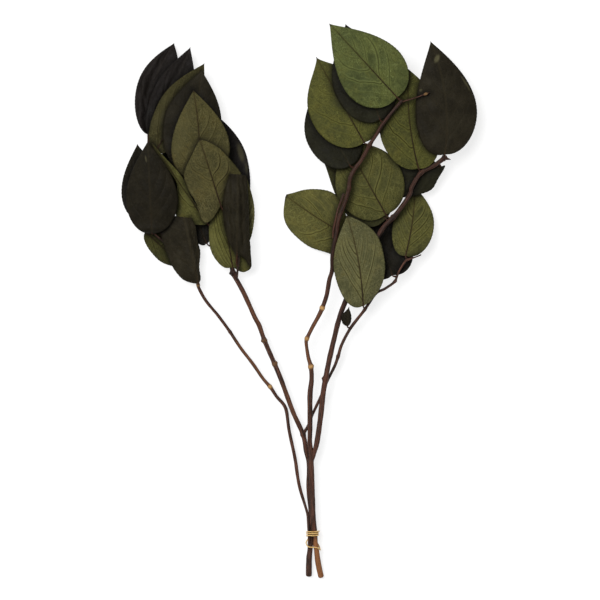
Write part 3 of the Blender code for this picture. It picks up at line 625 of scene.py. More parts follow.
@dataclass(frozen=True)
class BarkFinish:
    """Thin bark in brown and grey streaks, with pale scars and bare wood where it is peeled.

    The branch stores two vectors. grain: cosine and sine of the place round the stem, and
    centimetres along it. marks_and_shade: how much it is a scar, peeled, and dark, where the
    darkness is painted shade beneath the stem, under and beside a leaf and on the upper part,
    with dark knots at big buds.
    """

    name: str
    brown: Colour = (0.090, 0.034, 0.019)
    grey: Colour = (0.030, 0.017, 0.012)
    wood: Colour = (0.36, 0.147, 0.056)
    scar: Colour = (0.58, 0.33, 0.12)

    def material(self) -> bpy.types.Material:
        """Builds the bark's material."""
        net = Net(self.name)
        scar, peeled, dark, _ = net.field("marks_and_shade")
        grain = net.field("grain")[3]
        patches = net.drawn_out(grain, (0.5, 0.5, 0.35), 3.0)
        streaks = net.drawn_out(grain, (2.6, 2.6, 0.9), 4.0)
        fibres = net.drawn_out(grain, (6.0, 6.0, 1.2), 3.0)
        dots = net.drawn_out(grain, (2.2, 2.2, 6.0), 1.0).rise(0.70, 0.76)
        wood = net.layered(
            shaded(self.wood, 0.5),
            (fibres.rise(0.35, 0.7), self.wood),
            (streaks.rise(0.55, 0.7) * 0.7, (0.10, 0.045, 0.022)),
        )
        colour = net.layered(
            self.brown,
            (patches.rise(0.36, 0.64), self.grey),
            (streaks.rise(0.50, 0.68) * 0.85, shaded(self.brown, 2.4, 2.7, 3.0)),
            (fibres.rise(0.54, 0.34) * 0.82, (0.008, 0.004, 0.003)),
            (dots * 0.5, (0.19, 0.10, 0.055)),
            (peeled, wood),
            (scar, self.scar),
            # The dark part, painted shade with dark knots at big buds, turns the bark near-black.
            (dark * 0.88, (0.009, 0.005, 0.004)),
        )
        net.bump(fibres * 0.6 + streaks * 0.6 + dots * 0.3, 0.25)
        rough = 0.62 - 0.18 * streaks + 0.1 * peeled
        return net.finish({"Base Color": colour, "Roughness": rough, "Specular IOR Level": 0.16})


@dataclass(frozen=True)
class TieFinish:
    """Golden raffia with fibres along the strand."""

    name: str
    pale: Colour = (0.88, 0.62, 0.25)
    deep: Colour = (0.62, 0.36, 0.10)

    def material(self) -> bpy.types.Material:
        """Builds the tie's material."""
        net = Net(self.name)
        grain = net.field("grain")[3]
        fibres = net.drawn_out(grain, (3.0, 3.0, 0.6), 3.0)
        patches = net.drawn_out(grain, (0.4, 0.4, 1.2), 2.0)
        colour = net.layered(
            self.pale,
            (patches.rise(0.35, 0.65), self.deep),
            (fibres.rise(0.5, 0.35) * 0.5, shaded(self.deep, 0.5)),
        )
        net.bump(fibres, 0.12)
        return net.finish({"Base Color": colour, "Roughness": 0.38 + 0.25 * fibres})


@dataclass(frozen=True)
class Node:
    """A joint of a stem: its place from above, its colour and the side where a leaf or bud was."""

    x: float
    y: float
    pale: float = 0.0
    bud: float = 0.0


@dataclass(frozen=True)
class Strand:
    """One run of a branch: rows of x, y, height and radius, its joints, and how far it is peeled.

    tan: pale streaks on one side of the stem, in the colour of bare wood, as rows of the lowest y, highest y,
    side and strength.
    """

    name: str
    route: tuple[tuple[float, float, float, float], ...]
    nodes: tuple[Node, ...] = ()
    peeled: float = 0.0
    tan: tuple[tuple[float, float, float, float], ...] = ()
    around: int = 22

    def path(self) -> Array:
        """Even points with their radius along the strand, before any swelling."""
        return smooth_route(np.array(self.route, float), PATH_STEP)

    def nearest(self, place: tuple[float, float]) -> tuple[Array, Array, float]:
        """The strand's point, direction and radius nearest to a place seen from above."""
        path = self.path()
        k = int(np.clip(np.argmin(np.hypot(*(path[:, :2] - place).T)), 1, len(path) - 2))
        return path[k, :3], unit(path[k + 1, :3] - path[k - 1, :3]), path[k, 3]

    def edges(self) -> Array:
        """Its line as rows of x, y, z and radius, at every second point."""
        return self.path()[::2]

    def add_to(self, shell: Shell, seed: int, over: Array) -> None:
        """Adds the strand as a tube whose radius swells at joints and wavers with the bark.

        Radius = route radius x (1 + 0.26 bell of the joint) + a bud's bell on its side + low ribs
        that run along the stem + a slow random wave. Pale are scars, the peeled foot and the tan
        streaks. Painted shade darkens the underside, places under and beside the leaves and the upper
        part; big buds have dark knots.

        Args:
            shell: Takes the tube, with its grain and marks.
            seed: Sets this strand's bark apart.
            over: Edges of the leaves, which cast painted shade on the bark under and beside them.
        """
        path = self.path()
        along, centres, y = lengths(path), path[:, :3], path[:, 1:2]
        heading = unit(np.gradient(centres, axis=0))
        side = unit(np.cross((0.0, 0.0, 1.0), heading))
        up = np.cross(heading, side)
        angle = angles(self.around)[None]
        radii = path[:, 3:] * np.ones_like(angle)
        scar, knot, peel = (np.zeros_like(radii) for _ in range(3))
        for node in self.nodes:
            s = along[np.argmin(np.hypot(centres[:, 0] - node.x, centres[:, 1] - node.y))]
            near = (along - s)[:, None]
            radii = radii * (1 + JOINT_SWELL * bell(near, JOINT_LENGTH))
            facing = np.clip(np.cos(angle - (BUD_ANGLE if node.bud >= 0 else math.pi - BUD_ANGLE)), 0, 1) ** 2
            radii = radii + abs(node.bud) * bell(near - 0.6, BUD_LENGTH) * facing
            scar = np.maximum(scar, node.pale * bell(near, SCAR_LENGTH, 4))
            knot = np.maximum(knot, (abs(node.bud) > 1) * bell(near, KNOT_LENGTH))
        ribs = 0.035 * np.sin(3 * angle + ripple(seed, along, 160.0)[:, None] * 3)
        ribs = ribs + 0.022 * np.sin(7 * angle + ripple(seed + 1, along, 70.0)[:, None] * 4)
        radii = radii * (1 + ribs + 0.05 * ripple(seed + 2, along, 26.0)[:, None])
        inward = np.clip(np.minimum(along, along[-1] - along) / END_ROUNDING, 0, 1)
        rounding = np.sqrt(np.clip(1 - (1 - inward) ** 2, 0.36, 1))
        points, faces = tube(centres, side, up, radii * rounding[:, None])

        if self.peeled:
            torn = along[:, None] + 2.5 * np.sin(2 * angle + 1)
            peel = 1 - smooth_step(self.peeled - 3, self.peeled + 3, torn)
        for low, high, facing, strength in self.tan:
            band = smooth_step(low - 5, low + 5, y) * (1 - smooth_step(high - 5, high + 5, y))
            peel = np.maximum(peel, strength * band * np.exp((np.cos(angle - facing) - 1) * 1.6))
        # Painted shade: darker towards the underside and sides, under and beside the leaves, and on the upper
        # part among the leaves; big buds add dark knots.
        dark = 0.8 * (1 - smooth_step(-0.35, 0.85, np.sin(angle) * up[:, 2:]))
        beside, shade_high_up = painted_contact_shade(centres, over, BARK_SHADE_WIDTH, 0.8)[:, None], smooth_step(10, 90, y)
        for darkening in (beside, 0.8 * knot, 0.42 * shade_high_up):
            dark = np.maximum(dark, darkening)
        radius = path[:, 3:]
        grain = rows_of(np.cos(angle) * radius + seed * 7, np.sin(angle) * radius, along[:, None] * 0.1)
        marks_and_shade = rows_of(scar, peel, dark)
        shell.add(points, faces, grain=with_ends(grain, self.around), marks_and_shade=np.vstack([marks_and_shade, END_MARKS]))


@dataclass(frozen=True)
class Branch:
    """One cut branch: its strands, grown together."""

    name: str
    strands: tuple[Strand, ...]
    finish: BarkFinish
    seed: int

    def build(self, over: Array) -> Piece:
        """Makes the branch as one piece and puts it in its node's place.

        Args:
            over: Edges of the leaves.

        Returns:
            The new object.
        """
        shell = Shell("grain", "marks_and_shade")
        for k, strand in enumerate(self.strands):
            strand.add_to(shell, self.seed + 5 * k, over)
        made = shell.build(self.name + "_bark")
        made.data.materials.append(self.finish.material())
        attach(made, "root")
        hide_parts(self.name)
        return made


@dataclass(frozen=True)
class Leaf:
    """One leaf, measured from above.

    base, tip: where its blade begins and ends; left, right: greatest half widths, looking from
    the base to the tip; widest: how far along they lie; bow: bend of the midrib to the left;
    lobe, skew: how far the blade reaches back past its base; shoulder, right_shoulder, point:
    shape of its upper half; foot: where the petiole leaves the strand; margins: for a curled or
    torn outline, rows of a place along the blade, and x and y there on the left margin and on the
    right one; acute: higher for side veins that lie closer along the midrib; veins: how many;
    ridges: height of folds along the blade; fan: how far before the base the side veins begin;
    veined: how clear they are; spots: pale patches as rows of x, y, half length, half width,
    bearing of their length and strength, painted highlights on a leaf seen from below and pale
    olive patches on one seen from above.
    """

    name: str
    strand: str
    base: tuple[float, float]
    tip: tuple[float, float]
    left: float
    right: float
    tint: Tint
    face: Face = Face.UNDER
    widest: float = 0.38
    bow: float = 0.0
    lobe: float = 2.0
    skew: float = 0.0
    shoulder: float = 1.8
    right_shoulder: float = 0.0
    point: float = 1.1
    foot: tuple[float, float] | None = None
    margins: tuple[tuple[float, ...], ...] = ()
    acute: float = 0.34
    veins: float = 6.0
    shade: float = 1.0
    ridges: float = 0.0
    fan: float = 0.0
    veined: float = 1.0
    spots: tuple[tuple[float, ...], ...] = ()
    rows: int = 118
    columns: int = 41

    @property
    def seed(self) -> int:
        """A number of its own for each leaf."""
        return sum(ord(letter) * (k + 3) for k, letter in enumerate(self.name))

    @property
    def apart(self) -> float:
        """Where this leaf lies in the noise of its finish."""
        return self.seed * 0.37 % 97

    @property
    def length(self) -> float:
        """Distance from the blade's base to its tip."""
        return math.dist(self.base, self.tip)

    def outline(self, t: Array, s: Array) -> Array:
        """Half width of the blade, 1 at its widest: a quarter ellipse, then a curve drawn in to the tip."""
        near = np.sqrt(np.clip(1 - (1 - t / self.widest) ** 2, 0, 1))
        far = np.clip((t - self.widest) / (1 - self.widest), 0, 1)
        shoulder = np.where(s < 0, self.right_shoulder or self.shoulder, self.shoulder)
        return np.where(t < self.widest, near, (1 - far**shoulder) ** self.point)

    @property
    def axes(self) -> tuple[Array, Array, Array]:
        """The blade's base, and the ways to its tip and to its left, seen from above."""
        base = np.array(self.base)
        along = unit(np.array(self.tip) - base)
        return base, along, np.array([-along[1], along[0]])

    def midrib(self, t: Array) -> Array:
        """Points of the midrib: base + (tip - base) t, moved to the left by bow 4 t (1 - t)."""
        base, _, leftward = self.axes
        aside = leftward * (self.bow * 4 * t * (1 - t))[..., None]
        return base + (np.array(self.tip) - base) * t[..., None] + aside

    def reach(self, t: Array, s: Array) -> Array:
        """From the midrib to the margin on the side that s lies on.

        It is the half width straight across, and back by (lobe - skew) (1 - t) to the fourth on
        the left or (lobe + skew) of it on the right. A leaf with margins of its own takes the
        smooth curve through them.
        """
        base, along, leftward = self.axes
        side = np.where(s > 0, 1.0, -1.0)[..., None]
        if self.margins:
            start = (0.0, *(base + leftward * PETIOLE_RADIUS), *(base - leftward * PETIOLE_RADIUS))
            rows = np.vstack([start, self.margins])
            found = (spline_weights(rows[:, 0], t.ravel()) @ rows[:, 1:]).reshape(*t.shape, 4)
            return np.where(side > 0, found[..., :2], found[..., 2:]) - self.midrib(t)
        shape = self.outline(t, s)[..., None]
        narrowest = PETIOLE_RADIUS + (TIP_HALF_WIDTH - PETIOLE_RADIUS) * t[..., None]
        half = np.maximum(shape * np.where(side > 0, self.left, self.right), narrowest)
        back = (self.lobe - self.skew * side) * (1 - t[..., None]) ** 4 * shape
        return leftward * side * half - along * back

    def half_width(self, t: Array, s: Array) -> Array:
        """Distance in millimetres from the midrib to the margin on the side that s lies on."""
        return np.linalg.norm(self.reach(t, s), axis=-1)

    def plan(self, t: Array, s: Array, teeth: float = 0.0) -> Array:
        """The blade seen from above: the midrib plus |s| times the way from it to the margin.

        Args:
            t: Places along the blade, 0 to 1.
            s: Places across it, -1 on the right to 1 on the left.
            teeth: Height in millimetres of the fine teeth of the margin.

        Returns:
            Points of x and y.
        """
        t, s = np.broadcast_arrays(t, s)
        saw = np.abs((t * self.length / TOOTH_LENGTH + 0.3 * np.sign(s)) % 1 - 0.5)
        bite = teeth * (saw - 0.5) * smooth_step(0.8, 1.0, np.abs(s)) * self.outline(t, s)
        grown = np.abs(s) * (1 + bite / self.half_width(t, s))
        return self.midrib(t) + grown[..., None] * self.reach(t, s)

    def heights(self) -> Array:
        """Height of the blade's middle at STATIONS by ACROSS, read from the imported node."""
        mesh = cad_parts[self.name].data
        found = np.empty(len(mesh.vertices) * 3, np.float32)
        mesh.vertices.foreach_get("co", found)
        found = np.unique(np.round(found.reshape(-1, 3) / MM, 3), axis=0)
        t, s = np.meshgrid(STATIONS, ACROSS, indexing="ij")
        places = self.plan(t, s).reshape(-1, 2)
        far = np.hypot(*(places[:, None] - found[None, :, :2]).transpose(2, 0, 1))
        near = far < np.maximum(0.75, far.min(axis=1, keepdims=True) + 0.05)
        top = np.where(near, found[None, :, 2], -FAR).max(axis=1)
        bottom = np.where(near, found[None, :, 2], FAR).min(axis=1)
        middle = ((top + bottom) / 2).reshape(t.shape)
        rib = RIB_HEIGHT * (s == 0) * np.sqrt(1 - 0.9 * t)
        return middle + self.face.value * rib / 2

    def surface(self, t: Array, s: Array) -> Array:
        """The middle of the blade on a grid: the plan, with the node's heights as a smooth sheet."""
        height = spline_weights(STATIONS, t) @ self.heights() @ spline_weights(ACROSS, s).T
        return np.dstack([self.plan(t[:, None], s[None], TOOTH_HEIGHT), height])

    def edges(self) -> Array:
        """Its margin as rows of x, y, z and no width."""
        rim = self.surface(np.linspace(0, 1, RIM_POINTS), np.array([-1.0, 1.0])).reshape(-1, 3)
        return np.column_stack([rim, np.zeros(len(rim))])

    def vein_number(self, t: Array, s: Array) -> tuple[Array, Array, Array]:
        """Count of side veins along the blade, its rate a millimetre, and their strength.

        A vein is a line of whole count. The count is 0.6 + veins v, where v = t - acute |s| -
        0.16 |s| cubed, so each vein leaves the midrib forwards and bends on towards the tip. The
        two sides are set off from each other, and a slow wave makes the veins waver. Each vein has
        a random strength of its own, and all fade towards the margin and the tip.
        """
        a = np.abs(s)
        offset = 0.3 * np.tanh(s / 0.07) + 0.10 * ripple(self.seed, t + s * 0.35, 0.55)
        v = t - self.acute * a - 0.16 * a**3
        number = 0.6 + self.veins * v + offset
        kept = np.random.default_rng(self.seed).uniform(0.25, 1.0, 2 * VEINS_A_SIDE)
        nearest = np.clip(np.round(number), 0, VEINS_A_SIDE - 1).astype(int)
        picked = kept[nearest + VEINS_A_SIDE * (s > 0)]
        slope = np.hypot(1 / self.length, (self.acute + 0.48 * a**2) / np.maximum(self.half_width(t, s), 4.0))
        begun, ended = smooth_step(-0.05, 0.03, v + self.fan), 1 - smooth_step(0.62, 0.86, t)
        strength = begun * (1 - smooth_step(0.62, 0.95, a)) * ended
        return number, self.veins * slope, strength * picked

    def paleness(self, places: Array) -> Array:
        """How pale each place is: 1 within each spot's ellipse, with a soft edge."""
        pale = np.zeros(places.shape[:-1])
        for x, y, long, wide, bearing, strength in self.spots:
            turn = math.radians(bearing)
            way = np.array([math.cos(turn), math.sin(turn)])
            off = places[..., :2] - (x, y)
            far = np.hypot(off @ way / long, (off[..., 1] * way[0] - off[..., 0] * way[1]) / wide)
            pale = np.maximum(pale, strength * (1 - smooth_step(0.5, 1.3, far)))
        return pale

    def add_blade(self, shell: Shell, over: Array) -> Array:
        """Adds the blade: two faces along the surface's normals, joined round the margin.

        Between the side veins the blade swells towards its upper side by SWELL_HEIGHT at most, and
        the margin turns down a little. Low random waves crumple it, and ridges fold it lengthwise.
        Its upper side has a groove over the midrib.

        Args:
            shell: Takes the blade, with its vectors.
            over: Edges of the stems and of the other leaves, which cast painted shade beside them.

        Returns:
            The middle of the blade on the grid.
        """
        t, s = np.meshgrid(crowded(self.rows), np.linspace(-1, 1, self.columns), indexing="ij")
        middle = self.surface(t[:, 0], s[0])
        normal = normals(middle)
        sign = self.face.value
        number, rate, strength = self.vein_number(t, s)
        aside, shape = s * self.half_width(t, s), self.outline(t, s)
        swell = SWELL_HEIGHT * (0.5 - 0.5 * np.cos(2 * math.pi * number)) * smooth_step(0, 0.3, np.abs(s))
        swell = swell * strength - MARGIN_ROLL * np.abs(s) ** 10 * shape
        crumple = ripple(self.seed + 1, t * self.length + 0.4 * aside, 27.0)
        crumple = crumple * ripple(self.seed + 2, aside, 19.0)
        folds = self.ridges * (0.5 + 0.5 * np.cos(13 * s + 2.2 * ripple(self.seed + 3, t, 0.9) + self.seed))
        middle = middle + normal * (sign * swell + CRUMPLE_HEIGHT * crumple * shape)[..., None]
        folds = folds * np.minimum(shape, 1) * smooth_step(1.0, 0.8, np.abs(s)) * smooth_step(0, 0.15, t)
        middle[..., 2] += folds
        groove = GROOVE_DEPTH * bell(aside, 1.0)
        thick = HALF_THICKNESS * np.sqrt(1 - 0.8 * s**8)
        upper = middle + normal * (thick - groove * (sign > 0))[..., None]
        lower = middle - normal * (thick - groove * (sign < 0))[..., None]

        grid = np.arange(t.size).reshape(t.shape)
        rim = np.concatenate([grid[0, :-1], grid[:-1, -1], grid[-1, :0:-1], grid[:0:-1, 0]])
        ahead = np.roll(rim, -1)
        sheet = grid_faces(*t.shape)
        faces = [sheet, sheet[:, ::-1] + t.size, np.column_stack([rim, ahead, ahead + t.size, rim + t.size])]
        lit = 1.0 if sign > 0 else 0.0
        shell.add(
            np.vstack([upper.reshape(-1, 3), lower.reshape(-1, 3)]),
            faces,
            blade=np.vstack([rows_of(t, s, lit), rows_of(t, s, 1 - lit)]),
            vein=np.tile(rows_of(number, rate, strength), (2, 1)),
            place=np.tile(rows_of(t * self.length, aside, self.apart), (2, 1)),
            # The spot vector holds the pale patches and the painted shade beside higher edges.
            spot=np.tile(rows_of(self.paleness(middle), painted_contact_shade(middle, over, LEAF_SHADE_WIDTH), 0.0), (2, 1)),
        )
        return middle

    def add_stalk(self, shell: Shell, middle: Array, strand: Strand) -> None:
        """Adds the petiole and the midrib as one tapering tube.

        The petiole is the cubic curve that leaves the strand square to it and meets the blade
        along its midrib. The midrib follows the blade, sunk so that it stands out underneath.

        Args:
            shell: Takes the tube, with its vectors.
            middle: The middle of the blade on its grid.
            strand: The strand that carries the leaf.
        """
        line = middle[:, self.columns // 2]
        base = line[0]
        centre, tangent, radius = strand.nearest(self.foot or self.base)
        reach = base - centre
        gap = np.linalg.norm(reach)
        way = unit(reach - tangent * (reach @ tangent))
        heading = unit(line[8] - base)
        u = np.linspace(0, 1, 14)[:, None]
        corners = centre, centre + way * max(radius * 1.3, gap * 0.45), base - heading * gap * 0.35, base
        weights = (1 - u) ** 3, 3 * u * (1 - u) ** 2, 3 * u**2 * (1 - u), u**3
        stalk = sum(weight * corner for weight, corner in zip(weights, corners))[:-1]
        u = u[:-1, 0]

        keep = slice(2, int(self.rows * 0.93))
        t = crowded(self.rows)[keep]
        rib_radius = 0.36 * (1 - t) + 0.13
        sunk = normals(middle)[keep, self.columns // 2] * (self.face.value * rib_radius * 0.72)[:, None]
        centres = np.vstack([stalk, line[keep] - sunk])
        radii = evened(np.concatenate([0.85 + 0.35 * bell(u, 0.25) - 0.2 * u, rib_radius]))
        ease = np.array([evened(column) for column in centres.T]).T
        ease[0], ease[-1] = centres[0], centres[-1]
        directions = unit(np.gradient(ease, axis=0))
        hinge = np.cross(way, heading)
        hinge = unit(hinge) if np.linalg.norm(hinge) > 0.1 else np.array([-heading[1], heading[0], 0.0])
        side = unit(hinge - directions * (directions @ hinge)[:, None])
        each = np.ones((1, STALK_SIDES))
        points, faces = tube(ease, side, np.cross(directions, side), radii[:, None] * each)
        along = np.concatenate([np.zeros(len(stalk)), t])
        shell.add(
            points,
            faces,
            blade=with_ends(rows_of(along[:, None], 0 * each, 2.0), STALK_SIDES),
            vein=np.tile((0.5, 1.0, 0.0), (len(points), 1)),
            place=with_ends(rows_of(lengths(ease)[:, None], each, self.apart), STALK_SIDES),
            spot=np.zeros((len(points), 3)),
        )

    def build(self, strands: dict[str, Strand], over: Array) -> Piece:
        """Makes the leaf as one piece and puts it in its node's place.

        Args:
            strands: Every strand by name.
            over: Edges of the stems and of the other leaves.

        Returns:
            The new object.
        """
        shell = Shell("blade", "vein", "place", "spot")
        middle = self.add_blade(shell, over)
        self.add_stalk(shell, middle, strands[self.strand])
        made = shell.build(self.name + "_blade")
        finish = LeafFinish(self.name + "_skin", self.tint, self.face, self.veined, self.shade)
        made.data.materials.append(finish.material())
        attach(made, "root")
        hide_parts(self.name)
        return made


@dataclass(frozen=True)
class Tie:
    """The band round the stems: a closed loop that lies on the line just clear of them.

    held: the stems; turns: rows of turns wound, y there and how far the loop stands off there;
    foot_end: y up to which the stems can be held; twists: turns of the strand about its own line.
    """

    held: tuple[Strand, ...]
    turns: tuple[tuple[float, float, float], ...]
    radius: float = 0.55
    clearance: float = 0.42
    steps_per_turn: int = 90
    foot_end: float = -150.0
    twists: int = 40
    around: int = 12

    def path(self) -> Array:
        """The loop: at each angle it touches the stem that reaches furthest that way."""
        wound, place, lift = np.array(self.turns).T
        at = np.linspace(0, wound[-1], int(wound[-1] * self.steps_per_turn), endpoint=False)
        y, rise = np.interp(at, wound, place), np.interp(at, wound, lift)
        angle = 2 * math.pi * at
        outward = np.column_stack([np.cos(angle), np.sin(angle)])
        cuts = []
        for strand in self.held:
            path = strand.path()
            path = path[path[:, 1] < self.foot_end]
            order = np.argsort(path[:, 1])
            cuts.append(np.column_stack([np.interp(y, path[order, 1], path[order, k]) for k in (0, 2, 3)]))
        cuts = np.array(cuts)
        reach = (cuts[..., :2] * outward).sum(axis=-1) + cuts[..., 2]
        chosen = cuts[np.argmax(reach, axis=0), np.arange(len(at))]
        flat = chosen[:, :2] + outward * (chosen[:, 2] + self.clearance + self.radius + rise)[:, None]
        loop = np.column_stack([flat[:, 0], y, flat[:, 1]])
        for _ in range(3):
            loop = (np.roll(loop, 1, 0) + 2 * loop + np.roll(loop, -1, 0)) / 4
        return loop

    def build(self, finish: TieFinish) -> Piece:
        """Makes the tie as one piece and puts it in its node's place.

        Args:
            finish: Its finish.

        Returns:
            The new object.
        """
        loop = self.path()
        heading = unit(np.roll(loop, -1, 0) - np.roll(loop, 1, 0))
        side = unit(np.cross(heading, (0.0, 1.0, 0.0)))
        angle = angles(self.around)[None]
        run = np.arange(len(loop))[:, None] / len(loop)
        twist = 1 + 0.08 * np.sin(3 * angle + 2 * math.pi * self.twists * run)
        points = ring_points(loop, side, np.cross(heading, side), self.radius * twist)
        numbers = np.arange(twist.size).reshape(twist.shape)
        ahead = np.roll(numbers, -1, 0)
        faces = np.stack([numbers, np.roll(numbers, -1, 1), np.roll(ahead, -1, 1), ahead], -1).reshape(-1, 4)
        along = np.abs(np.linspace(-1, 1, len(loop)))[:, None] * 15
        shell = Shell("grain")
        shell.add(points, [faces], grain=rows_of(np.cos(angle), np.sin(angle), along))
        made = shell.build("tie_band_raffia")
        made.data.materials.append(finish.material())
        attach(made, "root")
        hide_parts("tie_band")
        return made


@dataclass(frozen=True)
class Studio:
    """The pale floor, the soft lights and the camera overhead.

    suns: rows of name, irradiance, azimuth, elevation and degrees across.
    """

    floor_size: float = 40.0
    floor_drop: float = 0.0002
    glow: float = 0.72
    world: float = 0.17
    suns: tuple[tuple[str, float, float, float, float], ...] = (
        ("key", 2.45, 140, 60, 40),
        ("fill", 0.6, -30, 50, 60),
    )

    def floor(self) -> None:
        """A plain pale floor just under the bunch."""
        half = self.floor_size / 2
        corners = [(x * half, y * half, -self.floor_drop) for x, y in ((-1, -1), (1, -1), (1, 1), (-1, 1))]
        mesh = bpy.data.meshes.new("floor")
        mesh.from_pydata(corners, [], [(0, 1, 2, 3)])
        made = linked("floor", mesh)
        looks = {"Base Color": (0.40, 0.40, 0.40), "Roughness": 1.0, "Specular IOR Level": 0.0}
        looks |= {"Emission Color": (1.0, 1.0, 1.0), "Emission Strength": self.glow}
        mesh.materials.append(Net("pale_floor").finish(looks))

    def sun(self, name: str, strength: float, azimuth: float, elevation: float, softness: float) -> None:
        """A broad soft light.

        Args:
            name: Its name.
            strength: Its irradiance.
            azimuth: Where it stands, in degrees anticlockwise from +X.
            elevation: Degrees above the floor.
            softness: Degrees across.
        """
        lamp = bpy.data.lights.new(name, "SUN")
        lamp.energy = strength
        lamp.angle = math.radians(softness)
        linked(name, lamp).rotation_euler = (0, math.radians(90 - elevation), math.radians(azimuth))

    def build(self) -> None:
        """Sets up the floor, the lights, the world and the camera."""
        scene = bpy.context.scene
        scene.view_settings.view_transform = "Standard"
        self.floor()
        for sun in self.suns:
            self.sun(*sun)
        world = bpy.data.worlds.new("white")
        world.use_nodes = True
        background = world.node_tree.nodes["Background"]
        background.inputs["Color"].default_value = (1, 1, 1, 1)
        background.inputs["Strength"].default_value = self.world
        scene.world = world
        lens = bpy.data.cameras.new("overhead")
        lens.sensor_width = SENSOR_WIDTH
        lens.lens = SENSOR_WIDTH * CAMERA_DISTANCE / VIEW_WIDTH
        lens.clip_end = 100
        scene.camera = linked("overhead", lens)
        x, y, z = *VIEW_CENTRE, VIEW_HEIGHT + CAMERA_DISTANCE
        scene.camera.location = (x * MM, y * MM, z * MM)


LEFT_ARM = Strand(
    "left_arm",
    (
        (10.2, -253.5, 2.8, 2.8), (10.4, -238, 3.9, 2.65), (11.2, -229.5, 4.6, 2.5),
        (11.8, -222, 5.1, 2.45), (11.7, -214, 5.4, 2.4), (12.6, -196, 5.5, 2.4), (10.2, -173, 5.6, 2.35),
        (10.4, -150.5, 6.0, 2.3), (7.6, -137, 6.5, 2.25), (4.8, -122.5, 7.1, 2.15),
        (-4.7, -100.7, 7.8, 2.15), (-15, -73, 8.6, 2.2), (-21.3, -57.4, 9.1, 2.15),
        (-30.5, -36.3, 9.6, 2.1), (-35.5, -22.3, 9.8, 2.15), (-40.2, -13.4, 9.9, 2.1),
        (-49.7, 7.7, 10.0, 2.15), (-57.6, 22.2, 10.0, 2.2), (-59.8, 28, 10.0, 2.2), (-64, 45, 9.9, 1.7),
        (-71.5, 66, 9.6, 1.6), (-79, 90, 9.3, 1.5), (-85.5, 113, 9.0, 1.4), (-92, 136, 8.6, 1.2),
    ),
    (Node(4.8, -122.5), Node(-21.5, -57.5, 0.15, -0.7), Node(-31, -36.5, 0.1, 0.8), Node(-59, 26.5, 0, 1.3),
     Node(-71.5, 66)),
    tan=((-110, -75, 1.6, 0.2), (-30, 10, 1.9, 0.2)),
)
LEFT_SHOOT = Strand(
    "left_shoot",
    (
        (-56.3, 18.5, 10.3, 0.9), (-56, 22.5, 13.4, 1.05), (-55.6, 26.5, 16.4, 1.05),
        (-55.2, 31, 17.6, 1.0), (-54.5, 39, 17.9, 1.0), (-56, 50, 18.0, 1.0), (-60, 61, 18.2, 0.95),
        (-64, 69, 18.4, 0.9),
    ),
    around=14,
)
RIGHT_ARM = Strand(
    "right_arm",
    (
        (6.4, -129, 6.8, 1.1), (6, -121, 7.0, 1.45), (9.5, -114.5, 7.0, 1.4), (13.5, -104, 7.2, 1.35),
        (18, -94.5, 7.6, 1.35), (21, -88, 8.0, 1.3), (28, -71.5, 8.8, 1.3), (34, -59.5, 9.8, 1.45),
        (37, -51, 10.6, 1.45), (40.4, -39.7, 11.7, 1.45), (47.4, -26.3, 13.2, 1.45),
        (54.5, -16.5, 14.6, 1.45), (61.5, -7.5, 15.6, 1.4), (71.5, 7, 17.0, 1.3), (80.4, 12, 17.8, 1.25),
        (89, 18.5, 18.4, 1.15), (93, 28, 18.8, 1.05), (98.5, 36.5, 19.2, 1.0), (101, 38.5, 19.3, 1.05),
        (106.5, 40.2, 19.6, 0.7), (111, 41.9, 19.9, 0.6), (113.5, 43, 20.0, 0.75),
    ),
    (Node(37, -51, 0.0, 0.3), Node(61.5, -7.5), Node(89, 18.5, 0.0, -0.5), Node(101, 38.5)),
    around=16,
)
MAIN = Strand(
    "main",
    (
        (21.5, -254.5, 2.6, 2.6), (19.4, -244.5, 4.3, 2.7), (18.3, -238, 5.4, 2.5),
        (17.4, -229.5, 6.8, 2.45), (16.2, -222, 8.0, 2.4), (15.7, -214, 8.8, 2.4), (14.1, -196, 10.5, 2.4),
        (13.2, -173, 9.9, 2.4), (12.4, -150.5, 11.0, 2.45), (12, -138, 11.4, 2.2), (11, -130, 11.6, 2.15),
        (11.2, -118, 11.9, 2.25), (11.2, -87, 12.6, 2.45), (12.8, -71.5, 13.0, 2.2), (12, -60, 13.3, 2.05),
        (9.6, -51, 13.6, 1.75), (7.9, -39.5, 14.0, 1.6), (8.4, -34.5, 14.2, 1.7), (12.8, -25, 14.6, 1.8),
        (19, -13.5, 15.2, 1.95), (22.5, -6, 15.6, 2), (26.5, 6, 16.2, 2.05), (29, 20, 17.0, 2.05),
        (31.5, 29, 17.6, 2), (32, 43, 18.6, 2), (35.5, 63, 19.8, 1.95), (37.5, 75.5, 20.6, 1.95),
        (43, 90.5, 21.4, 1.85), (47, 103, 22.0, 1.8), (48, 112.5, 22.4, 1.75), (52.5, 122, 22.8, 1.8),
        (58.5, 130, 23.1, 1.7), (66, 144, 23.7, 1.7), (72, 153, 24.5, 1.65), (79.5, 165, 25.4, 1.6),
        (93, 181.5, 26.3, 1.4), (96.5, 184.5, 26.5, 1.4),
    ),
    (Node(12, -60, 0.8, -0.5), Node(8, -34.5, 0.7, 0.3), Node(22.5, -6, 0.95, 0.3), Node(47, 103),
     Node(66, 144), Node(96.5, 184.5)),
    peeled=36.0,
    tan=((-60, -36, 0.8, 0.5), (-30, -7, 1.9, 0.4)),
)
TWIG = Strand(
    "twig",
    (
        (93.5, 181.5, 26.3, 0.55), (98, 184, 26.7, 0.65), (106.5, 186.5, 27.5, 0.6),
        (115, 189.5, 28.2, 0.65), (117.5, 190.5, 28.4, 1.0), (121, 192, 28.5, 0.35),
    ),
    (Node(117.5, 190.5, 0.5),),
    around=12,
)
SIDE_TWIG = Strand(
    "side_twig",
    (
        (32.5, 58, 19.4, 0.8), (33.2, 68, 20.3, 0.95), (36.8, 83.5, 21.2, 0.95), (41.2, 96, 22.2, 1.0),
        (42.5, 99.5, 22.6, 0.6),
    ),
    around=12,
)
